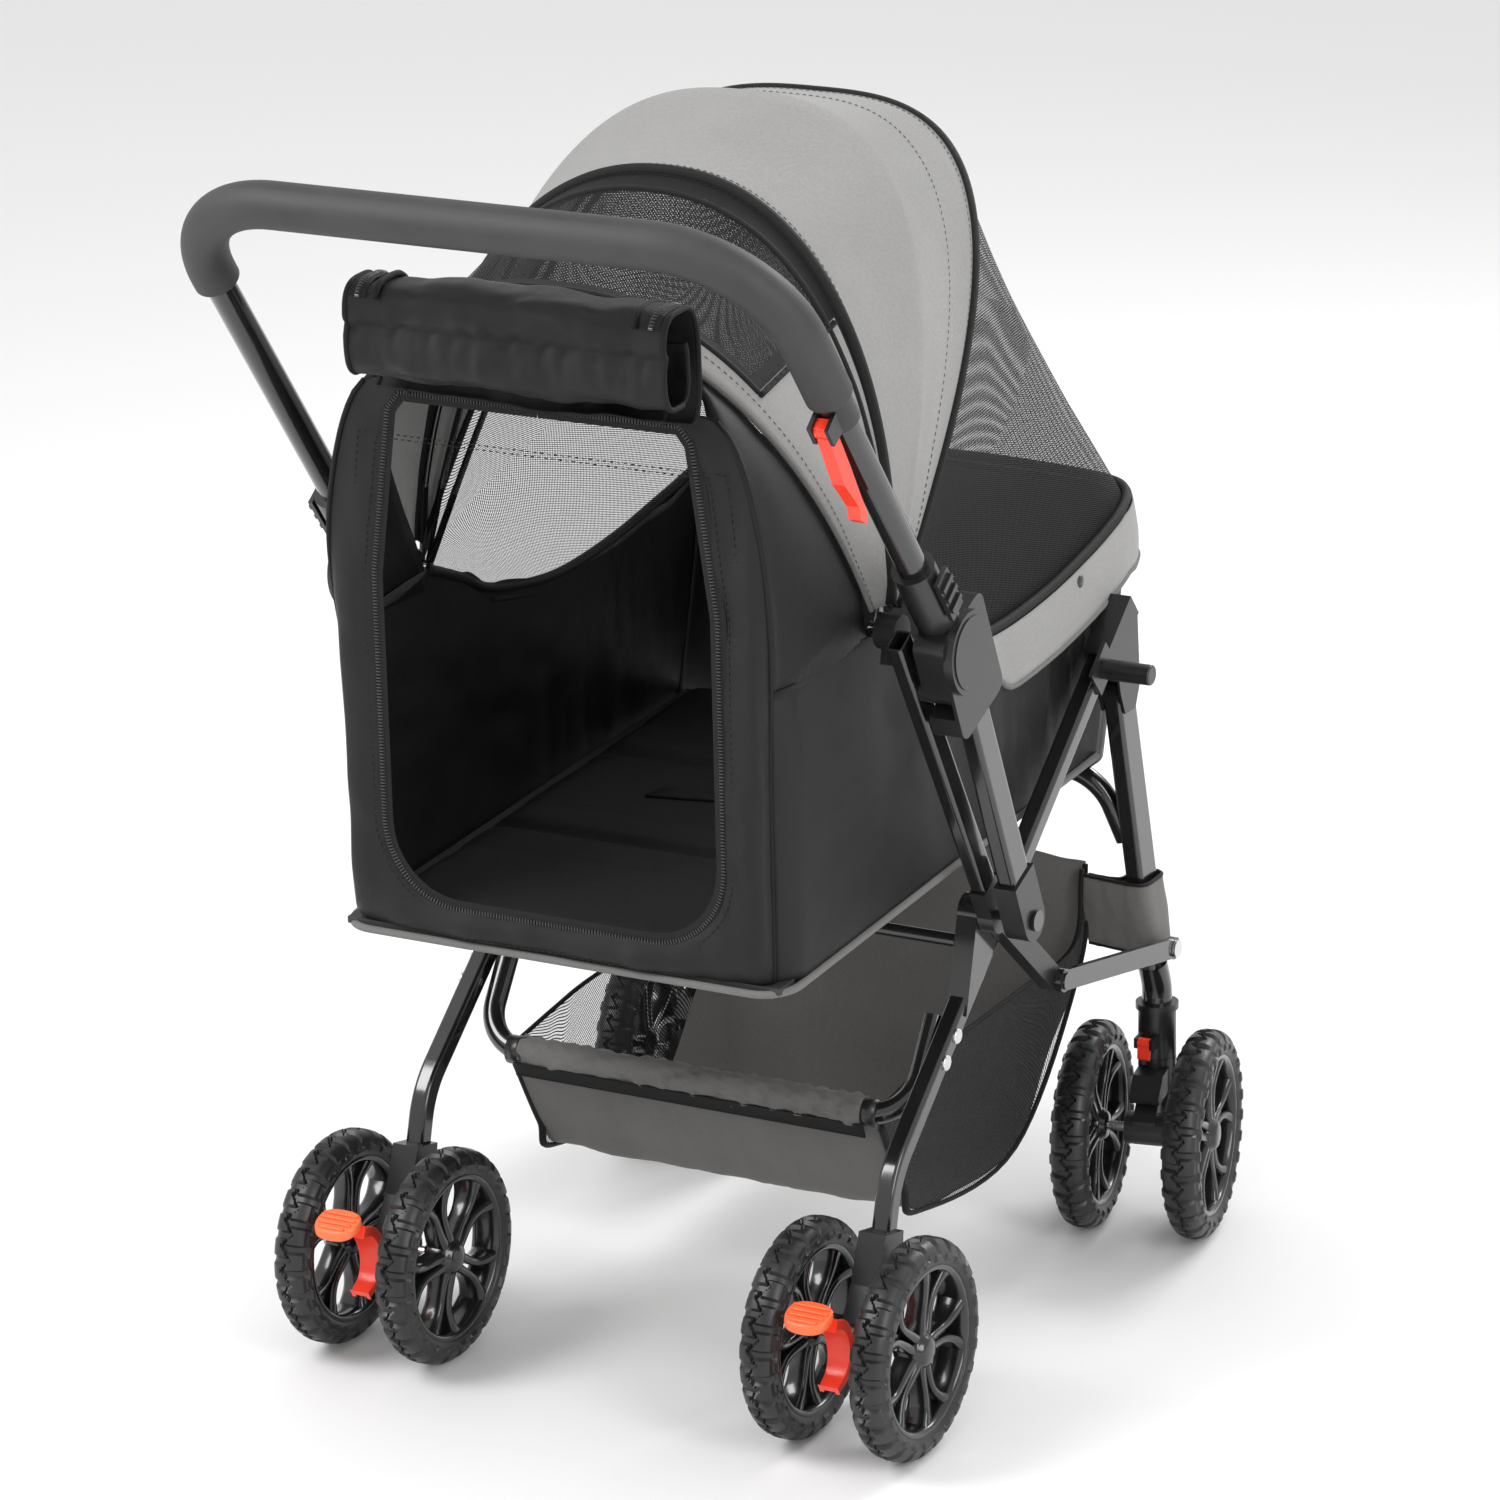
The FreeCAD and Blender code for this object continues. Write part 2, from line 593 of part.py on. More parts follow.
# ================================================================ casters
def caster_fork(x, stem):
    """Swivelling block between the front wheels with its stem."""
    axle_y = CASTER_Y - CASTER_TRAIL
    column = rod(V(x, CASTER_Y, 66), V(x, CASTER_Y, SOCKET_BOTTOM - 0.4), 15)
    arm = block(x - 9, x + 9, [
        (CASTER_Y + 4, 78),
        (CASTER_Y + 4, 118),
        (CASTER_Y - 14, 122),
        (axle_y - 12, 92),
        (axle_y - 8, 72),
        (axle_y + 10, 68),
    ])
    boss = cross_rod(x - HOUSING_HALF_WIDTH, x + HOUSING_HALF_WIDTH, (axle_y, WHEEL_RADIUS), 13)
    shade = block(x - 12, x + 12, [
        (CASTER_Y + 20, 112),
        (CASTER_Y + 14, 128),
        (CASTER_Y - 30, 126),
        (CASTER_Y - 44, 112),
        (CASTER_Y - 40, 106),
        (CASTER_Y, 108),
    ])
    spindle = rod(V(x, CASTER_Y, SOCKET_BOTTOM - 6), V(x, CASTER_Y, STEM_TOP), STEM_RADIUS)
    body = column.fuse(arm).fuse(boss).fuse(shade).fuse(spindle)
    body = body.cut(cross_rod(x - 20, x + 20, (axle_y, WHEEL_RADIUS), AXLE_RADIUS + RUNNING))
    body = body.removeSplitter()
    body.rotate(stem, V(0, 0, 1), CASTER_TURN)
    return body


def swivel_lock(side):
    """Red flip lever behind the caster socket."""
    x = side * CASTER_X
    pin_y = CASTER_Y - LOCK_PIN_OFFSET
    half = LOCK_HALF_WIDTH
    tab = block(x - half, x + half, [
        (pin_y + 1.5, LOCK_Z - 3),
        (pin_y - 3.5, LOCK_Z),
        (pin_y - 4.5, LOCK_Z - 12),
        (pin_y - 2, LOCK_Z - 14),
        (pin_y - 0.5, LOCK_Z - 10),
    ])
    body = tab.fuse(cross_rod(x - half, x + half, (pin_y, LOCK_Z), 4.3))
    bore = cross_rod(x - half - 1, x + half + 1, (pin_y, LOCK_Z), LOCK_PIN_RADIUS + RUNNING)
    return body.cut(bore).removeSplitter()


# ================================================================ handle
def bar_point(side, distance):
    """Point on a handle arm's centre line, measured from the upper corner down towards the latch."""
    point = along(BAR_CORNER, BAR_JOINT, distance)
    reach = math.hypot(BAR_JOINT[0] - BAR_CORNER[0], BAR_JOINT[1] - BAR_CORNER[1])
    x = 234.0 + (HANDLE_X - 234.0) * distance / reach
    return V(side * x, point[0], point[1])


def bar_length():
    return math.hypot(BAR_JOINT[0] - BAR_CORNER[0], BAR_JOINT[1] - BAR_CORNER[1])


def handle_bar():
    end = bar_length() - 3
    route = [bar_point(1, end), bar_point(1, 0), bar_point(-1, 0), bar_point(-1, end)]
    return hollow_round(bent_wire(route, BAR_BEND), BAR_RADIUS)


def handle_grip():
    route = [bar_point(1, GRIP_RUN_RIGHT), bar_point(1, 0), bar_point(-1, 0), bar_point(-1, GRIP_RUN_LEFT)]
    path = bent_wire(route, BAR_BEND)
    return round_sweep(path, GRIP_RADIUS).cut(round_sweep(path, BAR_RADIUS))


def handle_leg():
    start = polar(UPRIGHT_PIVOT, 22, HANDLE_ANGLE)
    end = polar(UPRIGHT_PIVOT, 224, HANDLE_ANGLE)
    path = Part.makePolygon([on_x(HANDLE_X, start), on_x(HANDLE_X, end)])
    return hollow_flat(path, HANDLE_WIDTH, HANDLE_DEPTH)


def handle_leg_envelope():
    start = polar(UPRIGHT_PIVOT, 21.8, HANDLE_ANGLE)
    end = polar(UPRIGHT_PIVOT, 224.2, HANDLE_ANGLE)
    path = Part.makePolygon([on_x(HANDLE_X, start), on_x(HANDLE_X, end)])
    return flat_sweep(path, HANDLE_WIDTH, HANDLE_DEPTH, TUBE_CORNER)


def handle_end_cap():
    low = HANDLE_X - 9.2
    high = HANDLE_X + 9.2
    sleeve_end = polar(UPRIGHT_PIVOT, 42, HANDLE_ANGLE)
    body = slab(low, high, UPRIGHT_PIVOT, sleeve_end, 16)
    body = body.fuse(cross_rod(low, high, UPRIGHT_PIVOT, 16))
    body = body.cut(handle_leg_envelope())
    return body.cut(cross_rod(low - 1, high + 1, UPRIGHT_PIVOT, PIN_RADIUS + RUNNING)).removeSplitter()


def peg_slot(angle, outward):
    """Open notch for a peg: a round seat and the way in along the arc that the peg follows."""
    seat = polar(UPRIGHT_PIVOT, PEG_REACH, angle)
    mouth = polar(UPRIGHT_PIVOT, PEG_REACH, angle + outward * 12)
    low = UPRIGHT_X
    high = PEG_TIP_X + 0.5
    width = PEG_RADIUS + 1.6
    return cross_rod(low, high, seat, PEG_RADIUS + 0.5).fuse(slab(low, high, seat, mouth, width))


def latch_housing():
    """Housing on the handle leg: two peg notches, a round boss outside and a collar on the bar."""
    low = HANDLE_X - 10.5
    high = HANDLE_X + 13.5
    offset = UPRIGHT_ANGLE - HANDLE_ANGLE
    rearward = HANDLE_ANGLE + 90
    bottom = polar(polar(UPRIGHT_PIVOT, 204, HANDLE_ANGLE), LATCH_SHIFT, rearward)
    top = polar(polar(UPRIGHT_PIVOT, 292, HANDLE_ANGLE), LATCH_SHIFT, rearward)
    body = slab(low, high, bottom, top, 34)
    body = body.makeFillet(9, [e for e in body.Edges if abs(e.tangentAt(e.FirstParameter).x) > 0.99])
    collar_top = bar_point(1, bar_length() - 118)
    body = body.fuse(rod(bar_point(1, bar_length() - 20), collar_top, 16))
    disc = polar(polar(UPRIGHT_PIVOT, DISC_REACH, HANDLE_ANGLE), DISC_SHIFT, rearward)
    body = body.fuse(cross_rod(high - 1, high + 6, disc, 31))
    body = body.fuse(cross_rod(high + 6, high + 7, disc, 27))
    passage = rod(bar_point(1, bar_length() + 1), bar_point(1, bar_length() - 130), BAR_RADIUS)
    body = body.cut(passage).cut(handle_leg_envelope())
    body = body.cut(peg_slot(HANDLE_ANGLE + offset, 1)).cut(peg_slot(HANDLE_ANGLE - offset, -1))
    return body.removeSplitter()


def latch_slider(side):
    """Ribbed finger slide on the outside of the latch collar."""
    reach = bar_length()
    start = bar_point(1, reach - 72)
    end = bar_point(1, reach - 112)
    low = HANDLE_X + 16.2
    plate = slab(low, low + 3.5, (start.y, start.z), (end.y, end.z), 9)
    ribs = []
    for step in (8, 19, 30):
        near = bar_point(1, reach - 72 - step)
        far = bar_point(1, reach - 72 - step - 4)
        ribs.append(slab(low + 3.5, low + 6, (near.y, near.z), (far.y, far.z), 8))
    body = plate.multiFuse(ribs)
    return body if side > 0 else mirrored(body)


def lever_frame():
    """Origin and directions of the release lever: down the tube, and away from it to the rear."""
    origin = bar_point(1, GRIP_RUN_RIGHT + 14)
    down = (bar_point(1, 200) - bar_point(1, 100)).normalize()
    away = V(1, 0, 0).cross(down).normalize()
    if away.y > 0:
        away = away * -1
    return origin, down, away


def lever_outline(x_low, x_high, points):
    origin, down, away = lever_frame()
    places = [origin + down * s + away * n for s, n in points]
    return block(x_low, x_high, [(place.y, place.z) for place in places])


def release_lever():
    origin, down, away = lever_frame()
    x = origin.x
    blade = lever_outline(x - 5, x + 5, [
        (-6, 15), (14, 15), (40, 17), (88, 22), (92, 27), (84, 31), (74, 27), (46, 31), (8, 26), (-6, 24)])
    pivot = origin + away * 20.5
    blade = blade.fuse(cross_rod(x - 5, x + 5, (pivot.y, pivot.z), 6))
    return blade.cut(cross_rod(x - 6, x + 6, (pivot.y, pivot.z), 2.5 + RUNNING)).removeSplitter()


def lever_mount():
    """Collar under the right end of the grip with two ears and the lever's pin."""
    origin, down, away = lever_frame()
    x = origin.x
    body = rod(origin - down * 12, origin + down * 12, BAR_RADIUS + 3)
    for low in (x - 8.3, x + 5.3):
        body = body.fuse(lever_outline(low, low + 3, [(-10, 0), (10, 0), (8, 27), (-8, 27)]))
    tube = rod(origin - down * 40, origin + down * 60, BAR_RADIUS)
    pivot = origin + away * 20.5
    pin = cross_rod(x - 8.3, x + 8.3, (pivot.y, pivot.z), 2.5)
    return body.cut(tube).fuse(pin).removeSplitter()


# ================================================================ cabin
def floor_line(y):
    run = (y - FLOOR_REAR[0]) / (FLOOR_FRONT[0] - FLOOR_REAR[0])
    return FLOOR_REAR[1] + run * (FLOOR_FRONT[1] - FLOOR_REAR[1])


def cabin_side():
    """Side wall with its rear quarter, which leans in towards the rear door."""
    half = CABIN_HALF
    wall = block(half - PANEL, half, [
        (CABIN_REAR_Y + PANEL, floor_line(CABIN_REAR_Y)),
        (FRONT_BOTTOM[0], FRONT_BOTTOM[1]),
        (FRONT_TOP[0], FRONT_TOP[1]),
        (409, 560),
        (323, 548),
        (240, 544),
        (150, 552),
        (60, REAR_PANEL_SHOULDER),
        (CABIN_REAR_Y + PANEL, REAR_PANEL_SHOULDER),
    ])
    low_rear = V(half, CABIN_REAR_Y + PANEL, REAR_PANEL_SHOULDER)
    low_front = V(half, 60, REAR_PANEL_SHOULDER)
    high = V(REAR_PANEL_TOP_HALF, CABIN_REAR_Y + PANEL, REAR_PANEL_TOP)
    face = Part.Face(Part.makePolygon([low_rear, low_front, high, low_rear]))
    quarter = face.extrude(V(-PANEL, 0, 0))
    return wall.fuse(quarter).removeSplitter()


def cabin_rear_panel():
    """Rear wall around the zipped door opening."""
    outline = [
        V(-CABIN_HALF, 0, FLOOR_REAR[1]),
        V(CABIN_HALF, 0, FLOOR_REAR[1]),
        V(CABIN_HALF, 0, REAR_PANEL_SHOULDER),
        V(REAR_PANEL_TOP_HALF, 0, REAR_PANEL_TOP),
        V(-REAR_PANEL_TOP_HALF, 0, REAR_PANEL_TOP),
        V(-CABIN_HALF, 0, REAR_PANEL_SHOULDER),
    ]
    wall = Part.Face(Part.makePolygon(outline + [outline[0]])).extrude(V(0, PANEL, 0))
    door = [
        V(-DOOR_HALF, -1, DOOR_BOTTOM),
        V(DOOR_HALF, -1, DOOR_BOTTOM),
        V(DOOR_HALF, -1, REAR_PANEL_SHOULDER + 50),
        V(DOOR_TOP_HALF, -1, DOOR_TOP),
        V(-DOOR_TOP_HALF, -1, DOOR_TOP),
        V(-DOOR_HALF, -1, REAR_PANEL_SHOULDER + 50),
    ]
    hole = Part.Face(Part.makePolygon(door + [door[0]])).extrude(V(0, PANEL + 2, 0))
    corners = [e for e in hole.Edges if e.CenterOfMass.z < DOOR_BOTTOM + 1 and abs(e.CenterOfMass.x) > 100]
    wall = wall.cut(hole.makeFillet(DOOR_CORNER, corners))
    wall.translate(V(0, CABIN_REAR_Y, 0))
    return wall


def front_curve(half, front_y, z, corner):
    """Level U line round the front of the cabin, from the right side to the left."""
    route = [V(half, front_y - corner, z), V(half, front_y, z), V(-half, front_y, z), V(-half, front_y - corner, z)]
    points = []
    steps = 6
    for side, centre in ((1, half - corner), (-1, -half + corner)):
        arc = []
        for step in range(steps + 1):
            turn = math.pi / 2 * step / steps
            arc.append(V(centre + side * corner * math.cos(turn), route[0].y + corner * math.sin(turn), z))
        points += arc if side > 0 else arc[::-1]
    return smooth(points)


def cabin_front():
    """Curved front wall, leaning forward as it rises."""
    top_y = FRONT_TOP[0] + FRONT_CORNER
    low_y = FRONT_BOTTOM[0] + FRONT_CORNER
    outer = [
        front_curve(CABIN_HALF, low_y, FRONT_BOTTOM[1], FRONT_CORNER),
        front_curve(CABIN_HALF, top_y, FRONT_TOP[1], FRONT_CORNER),
    ]
    inner = [
        front_curve(CABIN_HALF - PANEL, low_y - PANEL, FRONT_BOTTOM[1], FRONT_CORNER - PANEL),
        front_curve(CABIN_HALF - PANEL, top_y - PANEL, FRONT_TOP[1], FRONT_CORNER - PANEL),
    ]
    return ribbon(outer, inner)


def floor_plate(half, rise, thickness, rear_y, front_y):
    outline = [
        (rear_y, floor_line(rear_y) + rise),
        (front_y, floor_line(front_y) + rise),
        (front_y, floor_line(front_y) + rise + thickness),
        (rear_y, floor_line(rear_y) + rise + thickness),
    ]
    return block(-half, half, outline)


def door_roll():
    """The rear door rolled up and strapped above its opening."""
    section = Part.Ellipse(V(0, 0, 0), 47, 25).toShape()
    face = Part.Face(Part.Wire([section]))
    face.rotate(V(0, 0, 0), V(0, 1, 0), -90)
    face.translate(V(DOOR_ROLL[0], CABIN_REAR_Y - 34, 828))
    return face.extrude(V(DOOR_ROLL[1] - DOOR_ROLL[0], 0, 0))


# ================================================================ canopy
def hoop(shape, inset, root=CANOPY_ROOT):
    """Hoop line in a plane through the canopy pivots, starting at a distance above them."""
    half_width, height, squareness, tilt = shape
    half_width = half_width - inset
    height = height - inset
    share = root / height
    start = math.atan(share / (1 - share ** squareness) ** (1 / squareness))
    steps = 28
    points = []
    for step in range(steps + 1):
        turn = start + (math.pi - 2 * start) * step / steps
        cosine = math.cos(turn)
        sine = math.sin(turn)
        size = (abs(cosine) ** squareness + sine ** squareness) ** (1 / squareness)
        place = polar(CANOPY_PIVOT, height * sine / size, tilt)
        points.append(on_x(half_width * cosine / size, place))
    return smooth(points)


def canopy_cover():
    shapes = [HEM, REAR_HOOP, MIDDLE_HOOP, FRONT_HOOP]
    outer = [hoop(shape, 0) for shape in shapes]
    inner = [hoop(shape, CANOPY_SKIN) for shape in shapes]
    return ribbon(outer, inner)


def canopy_rib(shape, layer):
    """Round spring hoop inside the cover, with a flat arm and an eye on each canopy pin.

    The arms of the three hoops lie side by side on the pin, the front hoop's innermost.
    """
    inset = CANOPY_SKIN + RIB_RADIUS + RIB_GAP
    arm_low = FRONT_ARM_X + ARM_SPACING * layer
    arm_high = arm_low + ARM_THICKNESS
    height, squareness, tilt = shape[1:]
    share = RIB_ROOT / (height - inset)
    half_width = (arm_low + arm_high) / 2 / (1 - share ** squareness) ** (1 / squareness)
    line = hoop((half_width + inset, height, squareness, tilt), inset, RIB_ROOT)
    rib = round_sweep(Part.Wire([line]), RIB_RADIUS, True)
    arm = slab(arm_low, arm_high, CANOPY_PIVOT, polar(CANOPY_PIVOT, RIB_ROOT + 6, tilt), 3.2)
    arm = arm.fuse(cross_rod(arm_low, arm_high, CANOPY_PIVOT, 6))
    arm = arm.cut(cross_rod(arm_low - 1, arm_high + 1, CANOPY_PIVOT, CANOPY_PIN_RADIUS + RUNNING))
    return rib.fuse(arm).fuse(mirrored(arm)).removeSplitter()


def canopy_mesh():
    """Netting between the front hoop and the cabin's front rail."""
    thickness = 1.5
    outer = [hoop(MESH_HOOP, 0), rail_line(4)]
    inner = [hoop(MESH_HOOP, thickness), rail_line(4 + thickness)]
    return ribbon(outer, inner)


def rail_line(inset):
    """Line just above the cabin's rail, from the right pivot round the front to the left pivot."""
    half = CABIN_HALF - inset
    front = FRONT_TOP[0] + FRONT_CORNER - inset
    right = [V(half, 150, 556), V(half, 240, 548), V(half, 330, 552), V(half, 420, 566)]
    right.append(V(half, FRONT_TOP[0], FRONT_TOP[1] + 3))
    right.append(V(half - 15, front - 15, FRONT_TOP[1] + 4))
    right.append(V(half - FRONT_CORNER, front, FRONT_TOP[1] + 5))
    left = [V(-point.x, point.y, point.z) for point in reversed(right)]
    return smooth(right + [V(0, front, FRONT_TOP[1] + 6)] + left)


# ================================================================ basket
def offset_profile(points, thickness):
    """Strip of one thickness on the inner side of an open (y, z) line."""
    turns = [math.atan2(b[1] - a[1], b[0] - a[0]) for a, b in zip(points, points[1:])]
    before = [turns[0]] + turns
    after = turns + [turns[-1]]
    lifted = []
    for point, first, second in zip(points, before, after):
        normal = (first + second) / 2 + math.pi / 2
        reach = thickness / math.cos((second - first) / 2)
        lifted.append(polar(point, reach, math.degrees(normal)))
    return points + lifted[::-1]


def basket_sling():
    strip = offset_profile(BASKET_PROFILE, PANEL)
    return block(-BASKET_HALF + PANEL, BASKET_HALF - PANEL, strip)


def basket_mesh_side():
    return block(BASKET_HALF - PANEL, BASKET_HALF, BASKET_PROFILE + BASKET_RIM)


# ================================================================ assembly
def build():
    os.makedirs("parts", exist_ok=True)

    save("rear_leg_right", rear_leg())
    save("rear_leg_left", mirrored(rear_leg()))
    save("rear_axle_housings", pair(rear_axle_housing()))
    save("upright_brackets", pair(upright_bracket()))
    save("front_hinge_brackets", pair(front_hinge_bracket()))
    save("front_latch_pegs", pair(front_latch_peg()))
    save("frame_rivets", Part.makeCompound([pair(piece) for piece in frame_rivets()]))
    save("basket_bar", basket_bar())
    save("cross_rod", cross_rod_piece())

    save("uprights", pair(upright()))
    save("upright_feet", pair(upright_foot()))
    save("rear_latch_pegs", pair(rear_latch_peg()))
    save("canopy_pivots", pair(canopy_pivot()))
    save("fold_links", pair(fold_link()))

    save("front_legs", pair(front_leg()))
    save("front_leg_pins", pair(front_leg_pin()))
    save("front_cross_brace", front_cross_brace())
    save("caster_sockets", pair(caster_socket()))

    for side, name in ((1, "right"), (-1, "left")):
        stem = V(side * CASTER_X, CASTER_Y, 0)
        save("caster_fork_" + name, caster_fork(side * CASTER_X, stem))
        save("swivel_lock_" + name, swivel_lock(side))
        save("brake_pedal_" + name, brake_pedal(side))
        save("latch_slider_" + name, latch_slider(side))
        wheel_pair("rear_" + name, side * LEG_X, 0, None)
        wheel_pair("front_" + name, side * CASTER_X, CASTER_Y - CASTER_TRAIL, stem)

    save("handle_bar", handle_bar())
    save("handle_grip", handle_grip())
    save("handle_legs", pair(handle_leg()))
    save("handle_end_caps", pair(handle_end_cap()))
    save("latch_housings", pair(latch_housing()))
    save("lever_mount", lever_mount())
    save("release_lever", release_lever())

    save("cabin_rear_panel", cabin_rear_panel())
    save("cabin_sides", pair(cabin_side()))
    save("cabin_front", cabin_front())
    inside = CABIN_HALF - PANEL - 0.5
    save("floor_board", floor_plate(inside, 1, BOARD, CABIN_REAR_Y + PANEL + 0.5, FRONT_BOTTOM[0]))
    save("floor_pad", floor_plate(inside - 4, 1 + BOARD, PAD, CABIN_REAR_Y + PANEL + 6, FRONT_BOTTOM[0] - 4))
    save("door_roll", door_roll())
    save("canopy_cover", canopy_cover())
    save("canopy_rib_front", canopy_rib(FRONT_HOOP, 0))
    save("canopy_rib_middle", canopy_rib(MIDDLE_HOOP, 1))
    save("canopy_rib_rear", canopy_rib(REAR_HOOP, 2))
    save("canopy_mesh", canopy_mesh())
    save("basket_sling", basket_sling())
    save("basket_mesh_sides", pair(basket_mesh_side()))


build()
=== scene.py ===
import json
import math

import bpy
import bmesh
from mathutils import Matrix, Vector, noise


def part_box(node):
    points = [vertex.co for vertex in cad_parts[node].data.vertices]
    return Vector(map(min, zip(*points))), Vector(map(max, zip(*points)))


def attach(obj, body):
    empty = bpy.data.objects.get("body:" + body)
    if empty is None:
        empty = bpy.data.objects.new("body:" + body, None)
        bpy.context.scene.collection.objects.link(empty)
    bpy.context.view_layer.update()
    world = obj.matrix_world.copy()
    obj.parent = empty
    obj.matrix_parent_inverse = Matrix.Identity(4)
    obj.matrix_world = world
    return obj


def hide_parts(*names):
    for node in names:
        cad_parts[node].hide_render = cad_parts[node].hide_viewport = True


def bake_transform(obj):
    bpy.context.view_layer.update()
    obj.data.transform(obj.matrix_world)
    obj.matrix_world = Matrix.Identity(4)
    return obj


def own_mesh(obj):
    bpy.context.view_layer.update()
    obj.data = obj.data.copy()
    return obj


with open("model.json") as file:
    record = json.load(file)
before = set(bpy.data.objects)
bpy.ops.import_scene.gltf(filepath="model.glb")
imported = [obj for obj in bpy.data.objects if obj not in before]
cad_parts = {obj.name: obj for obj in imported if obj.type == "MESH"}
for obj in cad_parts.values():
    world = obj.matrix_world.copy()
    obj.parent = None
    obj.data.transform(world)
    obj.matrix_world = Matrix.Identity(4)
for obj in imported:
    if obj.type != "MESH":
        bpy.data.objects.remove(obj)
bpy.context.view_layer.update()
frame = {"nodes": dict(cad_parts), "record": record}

# Lengths below are millimetres from the rear axle's line (y) and the floor (z), as the object was laid
# out; at() turns them into the row frame in metres.
ORIGIN_Y = -179.3
PIVOT = (65.0, 600.0)
HEM = (190.0, 289.0, 2.45, 121.0)
REAR = (198.0, 309.0, 2.2, 82.0)
MIDDLE = (198.0, 378.0, 2.6, 64.5)
FRONT = (198.0, 420.0, 3.0, 49.4)
ROOT = 20.0
CABIN_HALF = 183.0
REAR_Y = -76.0
SHOULDER = 590.0
TOP_Z = 785.0
TOP_HALF = 134.0
DOOR_HALF = 139
DOOR_TOP_HALF = 122
DOOR_BOTTOM = 396
DOOR_TOP = 775
DOOR_CORNER = 60
DOOR_MIDDLE = 585


def at(x, y, z):
    return Vector((x, y + ORIGIN_Y, z)) / 1000


def mix(a, b, t):
    return a + (b - a) * t


def smoothstep(t):
    t = min(max(t, 0.0), 1.0)
    return t * t * (3 - 2 * t)


# ================================================================ materials
class Shader:
    """A node material being built: math helpers and the principled shader."""

    def __init__(self, name):
        self.mat = bpy.data.materials.new(name)
        self.mat.use_nodes = True
        self.tree = self.mat.node_tree
        self.bsdf = self.tree.nodes["Principled BSDF"]
        self.coord = self.tree.nodes.new("ShaderNodeTexCoord").outputs["Object"]

    def node(self, kind, **settings):
        made = self.tree.nodes.new(kind)
        for key, value in settings.items():
            setattr(made, key, value)
        return made

    def link(self, a, b):
        self.tree.links.new(a, b)

    def math(self, operation, a, b=None):
        made = self.node("ShaderNodeMath", operation=operation)
        for socket, value in zip(made.inputs, (a, b)):
            if value is None:
                continue
            if isinstance(value, (int, float)):
                socket.default_value = value
            else:
                self.link(value, socket)
        return made.outputs[0]

    def noise(self, scale, detail=3.0, rough=0.6):
        made = self.node("ShaderNodeTexNoise")
        made.inputs["Scale"].default_value = scale
        made.inputs["Detail"].default_value = detail
        made.inputs["Roughness"].default_value = rough
        self.link(self.coord, made.inputs["Vector"])
        return made.outputs["Fac"]

    def axes(self):
        split = self.node("ShaderNodeSeparateXYZ")
        self.link(self.coord, split.inputs[0])
        return split.outputs

    def ramp(self, fac, stops):
        made = self.node("ShaderNodeValToRGB")
        made.color_ramp.elements[0].position = stops[0][0]
        made.color_ramp.elements[0].color = (*stops[0][1], 1)
        made.color_ramp.elements[1].position = stops[-1][0]
        made.color_ramp.elements[1].color = (*stops[-1][1], 1)
        for position, colour in stops[1:-1]:
            extra = made.color_ramp.elements.new(position)
            extra.color = (*colour, 1)
        self.link(fac, made.inputs[0])
        return made.outputs[0]

    def bump(self, height, strength, distance):
        made = self.node("ShaderNodeBump")
        made.inputs["Strength"].default_value = strength
        made.inputs["Distance"].default_value = distance
        self.link(height, made.inputs["Height"])
        self.link(made.outputs[0], self.bsdf.inputs["Normal"])

    def spread(self, fac, low, high):
        made = self.node("ShaderNodeMapRange")
        made.inputs["To Min"].default_value = low
        made.inputs["To Max"].default_value = high
        self.link(fac, made.inputs["Value"])
        return made.outputs[0]

    def set(self, **values):
        for key, value in values.items():
            self.bsdf.inputs[key.replace("_", " ")].default_value = value


def cloth(name, colour, pitch=0.0011, rough=0.85, sheen=0.25, depth=0.6, contrast=0.22):
    """Plain-woven polyester: two sets of threads, slubs and soft shading over a larger scale."""
    s = Shader(name)
    x, y, z = s.axes()
    k = 2 * math.pi / pitch
    u = s.math("ADD", x, s.math("MULTIPLY", y, 0.92))
    v = s.math("ADD", z, s.math("MULTIPLY", s.math("SUBTRACT", x, y), 0.31))
    warp = s.math("SINE", s.math("MULTIPLY", u, k))
    weft = s.math("SINE", s.math("MULTIPLY", v, k))
    weave = s.math("MULTIPLY", warp, weft)
    slub = s.noise(420, 4)
    cloudy = s.noise(7, 3)
    height = s.math("ADD", s.math("MULTIPLY", weave, 0.5), slub)
    shade = s.math("ADD", s.math("MULTIPLY", weave, 0.16), s.math("MULTIPLY", slub, 0.55))
    shade = s.math("ADD", shade, s.math("MULTIPLY", cloudy, 0.45))
    dark = tuple(c * (1 - contrast) for c in colour)
    light = tuple(min(c * (1 + contrast), 1) for c in colour)
    s.link(s.ramp(shade, [(0.2, dark), (0.5, colour), (0.85, light)]), s.bsdf.inputs["Base Color"])
    s.link(s.spread(slub, rough - 0.08, rough + 0.08), s.bsdf.inputs["Roughness"])
    s.bump(height, depth, 0.00025)
    s.set(Sheen_Weight=sheen, Sheen_Roughness=0.45, Specular_IOR_Level=0.3)
    return s.mat


